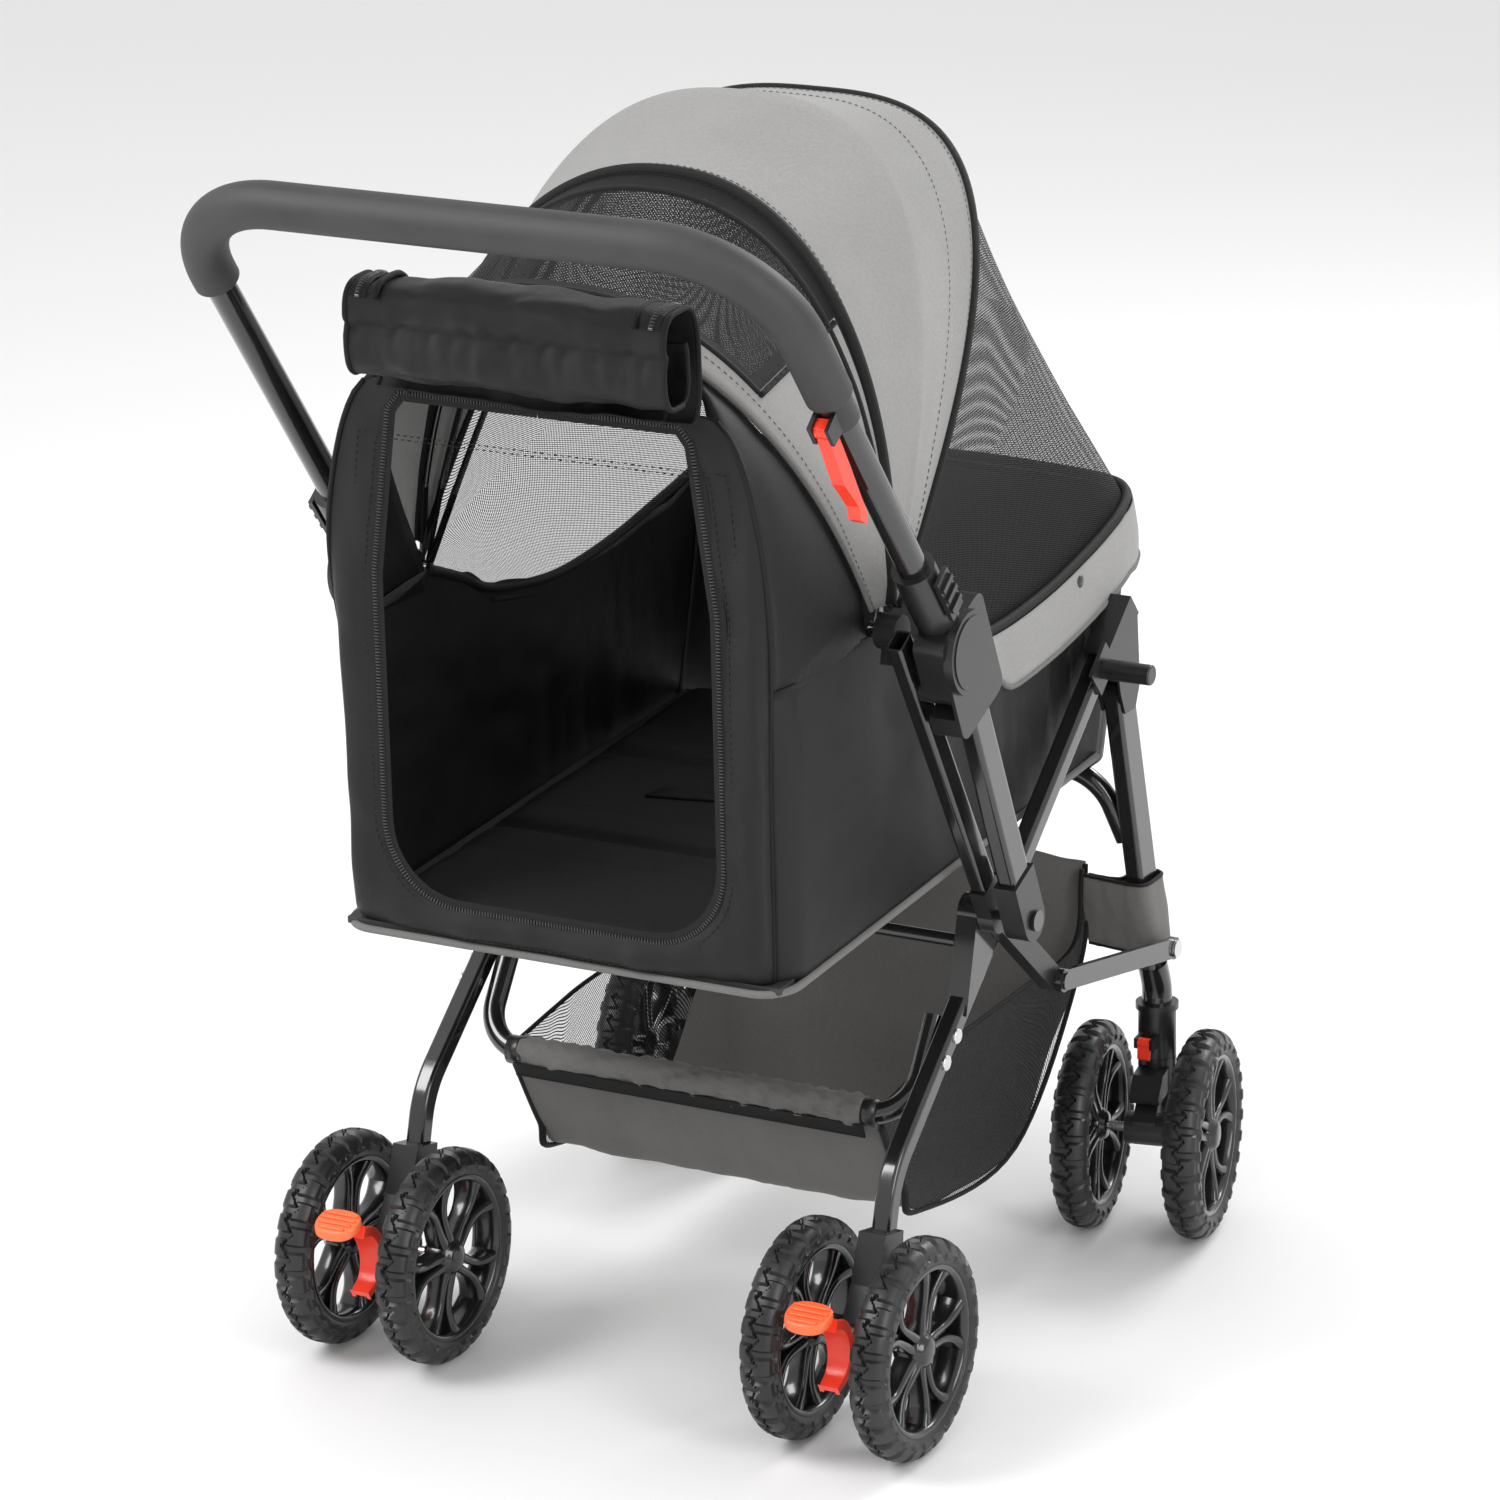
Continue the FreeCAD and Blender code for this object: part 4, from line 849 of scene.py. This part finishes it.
def rear_outline(angle):
    """Point of the rear wall's edge in a direction from the middle of the door."""
    edge = [(side_half(z), z) for z in (TOP_Z, 782, 775, 765, 750, 730, 705, 680, 650, 620, SHOULDER, 367)]
    corners = [(0, TOP_Z), *edge, *[(-x, z) for x, z in reversed(edge)], (0, TOP_Z)]
    direction = Vector((math.sin(angle), math.cos(angle)))
    best = None
    for (x0, z0), (x1, z1) in zip(corners, corners[1:]):
        a = Vector((x0, z0 - DOOR_MIDDLE))
        b = Vector((x1, z1 - DOOR_MIDDLE))
        edge = b - a
        det = direction.x * -edge.y + direction.y * edge.x
        if abs(det) < 1e-9:
            continue
        t = (a.x * -edge.y + a.y * edge.x) / det
        s = (direction.x * a.y - direction.y * a.x) / det
        if t > 0 and -1e-6 <= s <= 1 + 1e-6:
            best = direction * t
    return (best.x, best.y + 585)


def rear_surface(x, z, f):
    """Soft bulge and creases of the rear wall, f from 0 at the door to 1 at the outer edge."""
    if f <= 0:
        return REAR_Y
    fade = math.sin(math.pi * min(f, 1))
    creases = (noise.noise(Vector((x * 0.012, z * 0.006, 3))) * 4.5
               + noise.noise(Vector((x * 0.05, z * 0.012, 7))) * 2.4)
    creases += noise.noise(Vector((x * 0.03 + z * 0.03, x * 0.01 - z * 0.012, 1))) * 2.2
    turned = corner_round(z) * max(0.0, (f - 0.6) / 0.4) ** 2
    return REAR_Y - 5.0 * fade * smoothstep((790 - z) / 200) - creases * abs(fade) ** 0.5 + turned


def rear_wall():
    loop = door_loop()
    lines = 12
    rows = []
    for i in range(lines + 1):
        f = i / lines
        row = []
        for p in loop:
            angle = math.atan2(p.x, p.z - DOOR_MIDDLE)
            ox, oz = rear_outline(angle)
            x = mix(p.x, ox, f)
            z = mix(p.z, oz, f)
            x -= (math.copysign(corner_round(z), x) * max(0.0, (f - 0.6) / 0.4) ** 2
                  * (abs(ox) > CABIN_HALF - 30))
            row.append(at(x, rear_surface(x, z, f), z))
        rows.append(row)
    verts, faces = grid(rows, True)
    made = piece("rear_wall", verts, faces, "cabin_cloth", "rear_frame")
    thicken(made, 0.0012)
    return made


wall = rear_wall()
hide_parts("cabin_rear_panel")
cabin_pieces.append(wall)


def rearward(p):
    return Vector((0, -1, 0))


door_line = [at(p.x, REAR_Y - 1.0, p.z) for p in door_loop(260, 1.0)]
cabin_pieces.append(zipper("door_zip", door_line + door_line[:1], rearward, "rear_frame"))
for number, grow in enumerate((9.0, 22.0)):
    keep = [at(p.x, rear_surface(p.x, p.z, 0.12) - 1.4, p.z) for p in door_loop(260, grow)
            if p.z < 745 and abs(p.x) < side_half(p.z) - 6]
    start = max(range(len(keep) - 1), key=lambda i: (keep[i + 1] - keep[i]).length)
    keep = keep[start + 1:] + keep[:start + 1]
    cabin_pieces.append(stitches(f"door_stitch_{number}", keep, rearward, "dark_thread", "rear_frame"))


def side_top(y):
    """Height of the side wall's upper edge along the cabin."""
    corners = [(-73, 590), (66, 601), (110, 585), (150, 565), (240, 549), (323, 550), (409, 560), (482, 578)]
    for (y0, z0), (y1, z1) in zip(corners, corners[1:]):
        if y <= y1:
            return mix(z0, z1, smoothstep((y - y0) / (y1 - y0)))
    return 578


def side_wall(side):
    """Side of the cabin from the rear corner to the front corner, pleated a little below the skirt."""
    lines = 22
    columns = 90
    rows = []
    for i in range(lines + 1):
        f = i / lines
        row = []
        for j in range(columns + 1):
            g = j / columns
            low_y = mix(-76, 433, g)
            high_y = mix(-76, 482, g)
            z = mix(floor_z(low_y), side_top(high_y), f)
            cut = corner_round(z)
            y = max(mix(low_y, high_y, f), REAR_Y + cut + (mix(low_y, high_y, f) - REAR_Y) * 0.6)
            inward = cut * max(0.0, 1 - (y - REAR_Y - cut) / 26) ** 2
            soft = math.sin(math.pi * g) ** 0.4 * math.sin(math.pi * min(f * 1.02, 1)) ** 0.6
            pleat = noise.noise(Vector((y * 0.018, z * 0.004, 4 + side))) * 5.0
            pleat += noise.noise(Vector((y * 0.075, z * 0.006, 8))) * 3.2 * smoothstep((y - 150) / 150)
            pleat += noise.noise(Vector((y * 0.02 + z * 0.02, z * 0.03 - y * 0.01, 2))) * 2.6
            row.append(at(side * (CABIN_HALF - inward - 0.5 + (1.0 + pleat) * soft), y, z))
        rows.append(row)
    verts, faces = grid(rows)
    made = piece(f"side_wall_{'right' if side > 0 else 'left'}", verts, faces, "cabin_cloth", "rear_frame")
    thicken(made, 0.0012)
    return made


def rear_quarter(side):
    """Cloth between the rear wall's sloping edge and the canopy's hem."""
    start = hoop_start(HEM)
    rows = []
    count = 40
    for i in range(count + 1):
        f = i / count
        height = mix(SHOULDER, TOP_Z, f)
        cut = corner_round(height)
        edge = at(side * (side_half(height) - cut), REAR_Y + cut, height)
        turn = start + (math.pi / 2 - start) * (0.04 + 0.56 * f)
        hem = hoop_point(HEM, turn if side > 0 else math.pi - turn, 4.0)
        row = []
        for k in range(13):
            g = k / 12
            p = edge.lerp(hem, g)
            p.x += side * (0.003 + 0.005 * (1 - f)) * math.sin(math.pi * g)
            p.z += 0.0015 * noise.noise(p * 40)
            row.append(p)
        rows.append(row)
    low = []
    for k in range(13):
        y = mix(REAR_Y + corner_round(SHOULDER), 62, k / 12)
        inward = corner_round(SHOULDER) * max(0.0, 1 - (y - REAR_Y - corner_round(SHOULDER)) / 26) ** 2
        low.append(at(side * (CABIN_HALF - inward - 1), y, SHOULDER - 4))
    rows.insert(0, low)
    verts, faces = grid(rows)
    made = piece(f"rear_quarter_{'right' if side > 0 else 'left'}", verts, faces, "cabin_cloth", "rear_frame")
    thicken(made, 0.0012)
    return made


def front_wall():
    """Front of the cabin, leaning forward as it rises and rounded at its corners."""
    lines = 16
    rows = []
    for i in range(lines + 1):
        f = i / lines
        z = mix(389, 580, f)
        front = mix(483, 531, f) + 3 * math.sin(math.pi * f)
        row = []
        for j in range(73):
            t = -1 + 2 * j / 72
            corner = 50
            span = CABIN_HALF - corner
            arc = corner * math.pi / 2
            reach = abs(t) * (span + arc + 12)
            if reach < span:
                x, y = reach, front
            else:
                turn = min((reach - span) / corner, math.pi / 2)
                x, y = span + corner * math.sin(turn), front - corner + corner * math.cos(turn)
                y -= max(0.0, reach - span - arc)
            x -= 1.5
            wave = noise.noise(Vector((t * 8, f * 1.5, 3))) * 2.2 * math.sin(math.pi * f)
            row.append(at(math.copysign(max(x, 0), -t), y + wave, z))
        rows.append(row)
    verts, faces = grid(rows)
    made = piece("front_wall", verts, faces, "cabin_cloth", "rear_frame")
    thicken(made, 0.0012)
    return made


right = side_wall(1)
left = side_wall(-1)
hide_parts("cabin_sides")
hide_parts("cabin_sides")
fore = front_wall()
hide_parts("cabin_front")
cabin_pieces += [right, left, fore, rear_quarter(1), rear_quarter(-1)]

# corner piping, bottom binding, rail piping, skirt
for side in (1, -1):
    word = "right" if side > 0 else "left"
    corner = []
    for k in range(42):
        z = mix(371, TOP_Z - 3, k / 41)
        cut = corner_round(z)
        corner.append(at(side * (side_half(z) - cut), REAR_Y + cut - 0.5, z))
    cabin_pieces.append(tube(f"corner_piping_{word}", corner, 0.0019, "binding", "rear_frame", 8))


def bottom_binding():
    """Binding round the cabin's lower edge, along one side, round the back and along the other."""
    cut = corner_round(367)
    half = [(CABIN_HALF + 0.5, y) for y in range(430, -36, -12)]
    for k in range(9):
        turn = math.pi / 2 * k / 8
        half.append((CABIN_HALF - 2 * cut + 2 * cut * math.cos(turn) + 0.5,
                     REAR_Y + 2 * cut - 2 * cut * math.sin(turn) - 1))
    right_part = [at(x, y, floor_z(y) + 1) for x, y in half]
    left_part = [at(-x, y, floor_z(y) + 1) for x, y in reversed(half)]
    return tube("bottom_binding", right_part + left_part, 0.0030, "grey_binding", "rear_frame", 8)


cabin_pieces.append(bottom_binding())

rail_line = [rail_point(j / 160) for j in range(161)]
cabin_pieces.append(tube("rail_piping", rail_line, 0.0040, "binding", "rear_frame", 8))
lower_rail = [rail_point(0.10 + 0.80 * j / 160, 9.0, 1.5) for j in range(161)]
cabin_pieces.append(tube("rail_piping_lower", lower_rail, 0.0032, "binding", "rear_frame", 8))


def skirt():
    rows = []
    lines = 8
    for i in range(lines + 1):
        f = i / lines
        row = []
        for j in range(161):
            a = 0.14 + 0.72 * j / 160
            depth = 46 * smoothstep(min(j, 160 - j) / 9 + 0.25)
            p = rail_point(a, 3 + f * depth, 3.5 + 3.0 * math.sin(math.pi * f * 0.6))
            p.y += 0.0012 * noise.noise(Vector((a * 40, f * 3, 1)))
            row.append(p)
        rows.append(row)
    verts, faces = grid(rows)
    made = piece("grey_skirt", verts, faces, "canopy_cloth", "rear_frame")
    thicken(made, 0.0012)
    edge = rows[-1]
    return made, edge


grey_skirt, skirt_edge = skirt()
cabin_pieces.append(grey_skirt)
cabin_pieces.append(tube("skirt_binding", skirt_edge, 0.0022, "grey_binding", "rear_frame", 8))


# ================================================================ rolled rear door
def door_roll():
    """The door cloth wound into a flat roll: a spiral sheet with puckers along its middle seam."""
    steps = 120
    spans = 84
    rows = []
    for j in range(spans + 1):
        g = j / spans
        x = mix(-121, 133, g)
        row = []
        for i in range(steps + 1):
            f = i / steps
            turn = -2.2 * math.pi * f * 1.15 + 0.5
            size = 0.45 + 0.55 * f
            ry, rz = 31.0 * size, 50.0 * size
            pucker = noise.noise(Vector((x * 0.016, math.cos(turn) * 1.0, math.sin(turn) * 1.0 + 4))) * 5.0
            pucker += noise.noise(Vector((x * 0.05, math.cos(turn) * 2.2, math.sin(turn) * 2.2))) * 1.8
            pucker += noise.noise(Vector((x * 0.12, 3, 1))) * 1.6 * math.exp(-(math.sin(turn) / 0.35) ** 2)
            pucker *= min(1.0, 8 * min(g, 1 - g) + 0.15)
            belly = 1 - 0.05 * (2 * g - 1) ** 2
            y = math.copysign(abs(math.cos(turn)) ** 0.6, math.cos(turn)) * (ry + pucker) * belly
            z = math.copysign(abs(math.sin(turn)) ** 0.6, math.sin(turn)) * (rz + pucker) * belly
            wander = 0.1 * noise.noise(Vector((x * 0.1, 0, 0)))
            seam = math.exp(-((math.sin(turn) - 0.1 + wander) / 0.07) ** 2)
            seam *= (math.cos(turn) < 0) * 3.2
            row.append(at(x, REAR_Y - 34 + y + seam, 828 + z))
        rows.append(row)
    verts, faces = grid(rows)
    made = piece("rolled_door", verts, faces, "cabin_cloth", "rear_frame")
    thicken(made, 0.0014)
    ends = [(rows[0], -1), (rows[-1], 1)]
    return made, ends


roll, roll_ends = door_roll()
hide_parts("door_roll")
cabin_pieces.append(roll)



def roll_outward(p):
    return (p - at(p.x * 1000, REAR_Y - 34, 828)).normalized()


for row, side in roll_ends:
    word = "right" if side > 0 else "left"
    cabin_pieces.append(tube(f"roll_end_binding_{word}", row[30:], 0.0021, "binding", "rear_frame", 8))
    loop = [p - Vector((side * 0.024, 0, 0)) + roll_outward(p) * 0.0016 for p in row[66:]]
    cabin_pieces.append(tube(f"roll_loop_{word}", loop, 0.0026, "binding", "rear_frame", 8))
    inner = [p - Vector((side * 0.010, 0, 0)) + roll_outward(p) * 0.0009 for p in row[66:]]
    cabin_pieces.append(zipper(f"roll_zip_{word}", inner, roll_outward, "rear_frame"))


# ================================================================ floor pad
def floor_pad():
    """Stuffed mat on the base board, puffed by a short cloth simulation."""
    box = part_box("floor_pad")
    low, high = Vector(box[0]), Vector(box[1])
    slope = 29 / 513
    inset = 0.006
    x0, x1 = low.x + inset, high.x - inset
    y0, y1 = low.y + inset, high.y - inset
    base = low.z + 0.0018
    cuts = 24
    mesh = bpy.data.meshes.new("floor_mat")
    bm = bmesh.new()
    bmesh.ops.create_cube(bm, size=1)
    for v in bm.verts:
        y = mix(y0, y1, v.co.y + 0.5)
        v.co = Vector((mix(x0, x1, v.co.x + 0.5), y,
                       base + slope * (y - low.y) + (0.0078 if v.co.z > 0 else 0.0)))
    bm.to_mesh(mesh)
    bm.free()
    mesh.materials.append(MATERIALS["pad"])
    made = bpy.data.objects.new("floor_mat", mesh)
    bpy.context.scene.collection.objects.link(made)
    remesh = made.modifiers.new("remesh", "REMESH")
    remesh.mode = "VOXEL"
    remesh.voxel_size = 0.0052
    bake(made)
    made.data.materials.clear()
    made.data.materials.append(MATERIALS["pad"])
    made.data.polygons.foreach_set("use_smooth", [True] * len(made.data.polygons))
    rest = [v.co.copy() for v in made.data.vertices]
    soft = made.modifiers.new("cloth", "CLOTH")
    soft.settings.use_pressure = True
    soft.settings.uniform_pressure_force = 4
    soft.settings.effector_weights.gravity = 0
    soft.settings.quality = 5
    scene = bpy.context.scene
    for number in range(1, 21):
        scene.frame_set(number)
    bake(made)
    scene.frame_set(1)
    for v, r in zip(made.data.vertices, rest):
        move = v.co - r
        if move.length > 0.006:
            v.co = r + move.normalized() * 0.006
        floor = base + slope * (v.co.y - low.y) - 0.0016
        v.co.z = max(v.co.z, floor)
        v.co.x = min(max(v.co.x, low.x + 0.001), high.x - 0.001)
    # quilted channels across the mat
    for v in made.data.vertices:
        for line_y in (y0 + (y1 - y0) / 3, y0 + 2 * (y1 - y0) / 3):
            near = math.exp(-((v.co.y - line_y) / 0.007) ** 2)
            middle = base + slope * (v.co.y - low.y) + 0.004
            if v.co.z > middle:
                v.co.z = mix(v.co.z, middle + 0.0012, 0.75 * near)
    smooth = made.modifiers.new("smooth", "SUBSURF")
    smooth.levels = 1
    smooth.render_levels = 1
    bake(made)
    made.data.polygons.foreach_set("use_smooth", [True] * len(made.data.polygons))
    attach(made, "rear_frame")
    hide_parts("floor_pad")
    return made


mat = floor_pad()


# ================================================================ basket
BASKET_HALF = 157.0
PROFILE = [
    (116, 199), (128, 176), (150, 138), (172, 112), (230, 104),
    (335, 102), (395, 160), (453, 216), (464, 296),
]


def basket_sheet():
    """Sling of the basket: hangs from the rear bar, sags along its floor and rises to the front legs."""
    spine = smooth_line([Vector((0, y, z)) for y, z in PROFILE], 9)
    rows = []
    for i, s in enumerate(spine):
        f = i / (len(spine) - 1)
        row = []
        for j in range(61):
            t = -1 + 2 * j / 60
            x = t * BASKET_HALF
            sag = 5.5 * (1 - t * t) * math.sin(math.pi * min(f * 1.1, 1))
            wave = (noise.noise(Vector((t * 5, f * 7, 6))) * 2.2
                    + noise.noise(Vector((t * 22, f * 3, 2))) * 1.5 * (1 - f) ** 3)
            edge = 1 - abs(t) ** 8
            row.append(at(x, s.y + wave * 0.6 * edge, max(s.z - (sag * 0.6 - 1.5) * edge + wave * edge, 99)))
        rows.append(row)
    verts, faces = grid(rows)
    made = piece("basket_cloth", verts, faces, "basket_cloth", "rear_frame")
    thicken(made, 0.0014)
    return made


def basket_side(side):
    """Netting side of the basket with its bound edges."""
    word = "right" if side > 0 else "left"
    top = [(128, 214), (180, 221), (231, 226), (340, 228), (440, 234), (456, 292)]
    low = [(116, 199), (150, 138), (172, 110), (335, 102), (452, 214), (463, 294)]
    top_line = smooth_line([Vector((0, y, z)) for y, z in top], 10)
    low_line = smooth_line([Vector((0, y, z)) for y, z in low], 10)
    rows = []
    for k in range(13):
        f = k / 12
        rows.append([at(side * (BASKET_HALF + 0.5 + 2.0 * math.sin(math.pi * f) * noise.noise(a * 0.03)),
                        mix(a.y, b.y, f), mix(a.z, b.z, f)) for a, b in zip(low_line, top_line)])
    verts, faces = grid(rows)
    made = piece(f"basket_net_{word}", verts, faces, "net", "rear_frame")
    lay_flat(made, rows)
    edges = []
    for tag, row in (("low", rows[0]), ("top", rows[-1])):
        edges.append(tube(f"basket_binding_{tag}_{word}", row, 0.0030, "binding", "rear_frame", 8, flat=0.6))
    return [made, *edges]


sling = basket_sheet()
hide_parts("basket_sling")
basket_pieces = [sling]
for side in (1, -1):
    made = basket_side(side)
    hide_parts("basket_mesh_sides")
    basket_pieces += made

# gathered sleeve round the rear bar, the tape below it and the bar's end sleeves
sleeve = [at(x, 113 + 0.4 * math.sin(x * 0.3), 209) for x in range(-148, 149, 3)]
basket_pieces.append(tube("bar_sleeve", sleeve, 0.0120, "basket_cloth", "rear_frame", 20, wobble=0.35))
line = [at(x, 103.5, 197.5) for x in range(-150, 151, 6)]
basket_pieces.append(strip(
    "sleeve_tape", line, lambda p, i: Vector((0, -0.35, 1)), 0.012, 0.0014, "binding", "rear_frame"))
for side in (1, -1):
    word = "right" if side > 0 else "left"
    body = [at(side * x, 113, 209) for x in (144, 150, 158)]
    tube(f"bar_end_sleeve_{word}", body, 0.0112, "plastic", "rear_frame", 16)
for obj in basket_pieces:
    bend(obj)


def leg_wrap(side):
    """End of the basket's front panel, folded round the front leg and snapped on itself."""
    word = "right" if side > 0 else "left"
    rows = []
    for i in range(11):
        f = i / 10
        z = mix(228, 288, f)
        y = mix(481, 469, f)
        x = mix(204.5, 203, f)
        ring = [(-46, -14), (-30, -16), (-12, -18.5), (2, -19.5), (10.5, -15), (11.5, 0), (10, 15),
                (0, 19.5), (-9, 17), (-11.5, 4), (-13, -10), (-24, -13), (-40, -11.5)]
        line = smooth_line([Vector((dx, dy, 0)) for dx, dy in ring], 5)
        flare = 1 + 0.05 * math.sin(math.pi * f)
        rows.append([at(side * (x + p.x * flare),
                        y + p.y * flare + 1.2 * noise.noise(Vector((p.x * 0.2, f * 3, side))), z)
                     for p in line])
    verts, faces = grid(rows)
    made = piece(f"leg_wrap_{word}", verts, faces, "basket_cloth", "front_legs")
    thicken(made, 0.0014)
    for tag, row in (("low", rows[0]), ("top", rows[-1])):
        tube(f"leg_wrap_binding_{tag}_{word}", row, 0.0016, "binding", "front_legs", 6)
    return made


for side in (1, -1):
    leg_wrap(side)


# ================================================================ domed heads for the skirt's snaps
def dome(name, place, normal, radius, height, slot, body):
    """Domed rivet head with a small rim."""
    profile = [(0.0, 1.0), (0.25, 1.0), (0.55, 0.86), (0.85, 0.55), (1.0, 0.2), (1.02, 0.0)]
    verts, faces = lathe([(a * height, r * radius) for a, r in profile], 20)
    turn = Vector((1, 0, 0)).rotation_difference(normal.normalized()).to_matrix()
    return piece(name, [turn @ v + place for v in verts], faces, slot, body)


for side, word in ((1, "right"), (-1, "left")):
    snap = dome(f"skirt_grommet_{word}", at(side * 190.5, 389, 548), Vector((side, 0, 0)),
                0.0050, 0.0018, "teeth", "rear_frame")
    cabin_pieces.append(snap)

for obj in cabin_pieces:
    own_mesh(obj)


# ================================================================ brake pedals
def plate(name, outline, low, high, slots, body, bevel):
    """Flat part with a given outline, rounded at its edges; low and high map a point to its two faces."""
    count = len(outline)
    verts = [low(x, y) for x, y in outline] + [high(x, y) for x, y in outline]
    faces = [tuple(range(count))[::-1], tuple(range(count, 2 * count))]
    faces += [(i, (i + 1) % count, count + (i + 1) % count, count + i) for i in range(count)]
    made = piece(name, verts, faces, slots, body)
    round_edges(made, bevel, 3)
    bake(made)
    return made


def brake_pedal(side):
    """Ridged D-shaped pad on a curved stalk that hooks under the axle housing."""
    word = "right" if side > 0 else "left"
    body = f"brake_{word}"
    centre = (side * 199 - 5, -66)
    outline = []
    for k in range(24):
        t = 2 * math.pi * k / 24
        back = math.sin(t) < 0
        outline.append((18 * math.copysign(abs(math.cos(t)) ** 0.8, math.cos(t)),
                        (15 if back else 11) * math.copysign(abs(math.sin(t)) ** 0.8, math.sin(t))))

    def top(dx, dy, rise):
        return at(centre[0] + dx, centre[1] + dy, 120 + rise + 0.35 * dy)

    pad = plate(f"brake_pad_{word}", outline, lambda x, y: top(x, y, 0), lambda x, y: top(x, y, 8),
                "orange", body, 0.0022)
    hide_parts(f"brake_pedal_{word}")
    for k in range(4):
        dy = -11 + 5 * k
        half = 15 * math.sqrt(max(0.1, 1 - (dy / 16) ** 2))
        line = [top(mix(-half, half, i / 6), dy, 8.6) for i in range(7)]
        tube(f"brake_rib_{k}_{word}", line, 0.0012, "orange", body, 6)
    route = ((-62, 118), (-46, 112), (-36, 98), (-34, 82), (-40, 70), (-52, 63))
    spine = smooth_line([Vector((0, y, z)) for y, z in route], 6)
    rows = []
    for i, p in enumerate(spine):
        f = i / (len(spine) - 1)
        along = (spine[min(i + 1, len(spine) - 1)] - spine[max(i - 1, 0)]).normalized()
        out = Vector((0, -along.z, along.y))
        half = mix(12, 7.5, f)
        thick = mix(3.4, 2.4, f)
        rows.append([at(side * 199 + 2 + w * half, p.y + out.y * h * thick, p.z + out.z * h * thick)
                     for w, h in ((-1, -1), (-1, 1.4), (-0.75, 1.4), (-0.7, 0.4),
                                  (0.7, 0.4), (0.75, 1.4), (1, 1.4), (1, -1))])
    verts, faces = grid(rows, True)
    faces += [tuple(range(8)), tuple(len(rows) * 8 - 8 + i for i in range(8))[::-1]]
    stalk = piece(f"brake_stalk_{word}", verts, faces, "red", body, smooth=False)
    round_edges(stalk, 0.0008)
    bake(stalk)


for side in (1, -1):
    brake_pedal(side)

# webbing strap that comes down the right wall and lies across the pad
STRAP = (
    (178, 300, 500), (168, 290, 440), (140, 270, 409), (70, 235, 406.5), (0, 205, 404.5), (-70, 190, 404),
)
strap = smooth_line([at(x, y, z) for x, y, z in STRAP], 6)
webbing = strip("seat_strap", strap, lambda p, i: Vector((0.25, 1, 0.05)), 0.022, 0.0016,
                "binding", "rear_frame")
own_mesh(webbing)


# ================================================================ floor, light and camera
bpy.ops.mesh.primitive_plane_add(size=14, location=(0, 0, 0))
ground = bpy.context.object
ground.name = "studio_floor"
backdrop = Shader("studio floor")
backdrop.set(Base_Color=(0.86, 0.86, 0.86, 1), Roughness=0.6)
ground.data.materials.append(backdrop.mat)

world = bpy.data.worlds.new("studio")
world.use_nodes = True
world.node_tree.nodes["Background"].inputs[0].default_value = (1.0, 1.0, 1.0, 1)
world.node_tree.nodes["Background"].inputs[1].default_value = 0.85
bpy.context.scene.world = world


def area(name, place, target, size, power):
    light = bpy.data.lights.new(name, "AREA")
    light.shape = "RECTANGLE"
    light.size = size[0]
    light.size_y = size[1]
    light.energy = power
    obj = bpy.data.objects.new(name, light)
    obj.location = place
    obj.rotation_euler = (Vector(target) - Vector(place)).to_track_quat("-Z", "Y").to_euler()
    bpy.context.scene.collection.objects.link(obj)


area("key", (-1.6, -1.8, 2.6), (0, 0, 0.5), (1.2, 1.6), 62)
area("fill", (2.6, -1.2, 1.6), (0, 0, 0.5), (0.9, 2.0), 34)
area("rim", (0.8, 2.6, 2.2), (0, 0, 0.6), (1.6, 0.8), 48)

# the camera that was fitted to the wheels, legs and handle: where it aims, how far off it stands and its lens
AIM = at(-91.0, 375.5, 379.3)
DISTANCE = 4.8156
FOCAL_LENGTH = 147.69
azimuth, elevation, roll = math.radians(29.27), math.radians(18.12), math.radians(-1.37)
level = math.cos(elevation)
forward = Vector((-math.sin(azimuth) * level, math.cos(azimuth) * level, -math.sin(elevation)))
sideways = Vector((math.cos(azimuth), math.sin(azimuth), 0))
upward = sideways.cross(forward)
right_dir = sideways * math.cos(roll) + upward * math.sin(roll)
up_dir = upward * math.cos(roll) - sideways * math.sin(roll)
eye = AIM - forward * DISTANCE
lens = bpy.data.cameras.new("camera")
lens.sensor_width = 36
lens.lens = FOCAL_LENGTH
lens.clip_end = 50
camera = bpy.data.objects.new("camera", lens)
camera.matrix_world = Matrix.Translation(eye) @ Matrix((right_dir, up_dir, -forward)).transposed().to_4x4()
bpy.context.scene.collection.objects.link(camera)
bpy.context.scene.camera = camera
bpy.context.scene.view_settings.view_transform = "Standard"
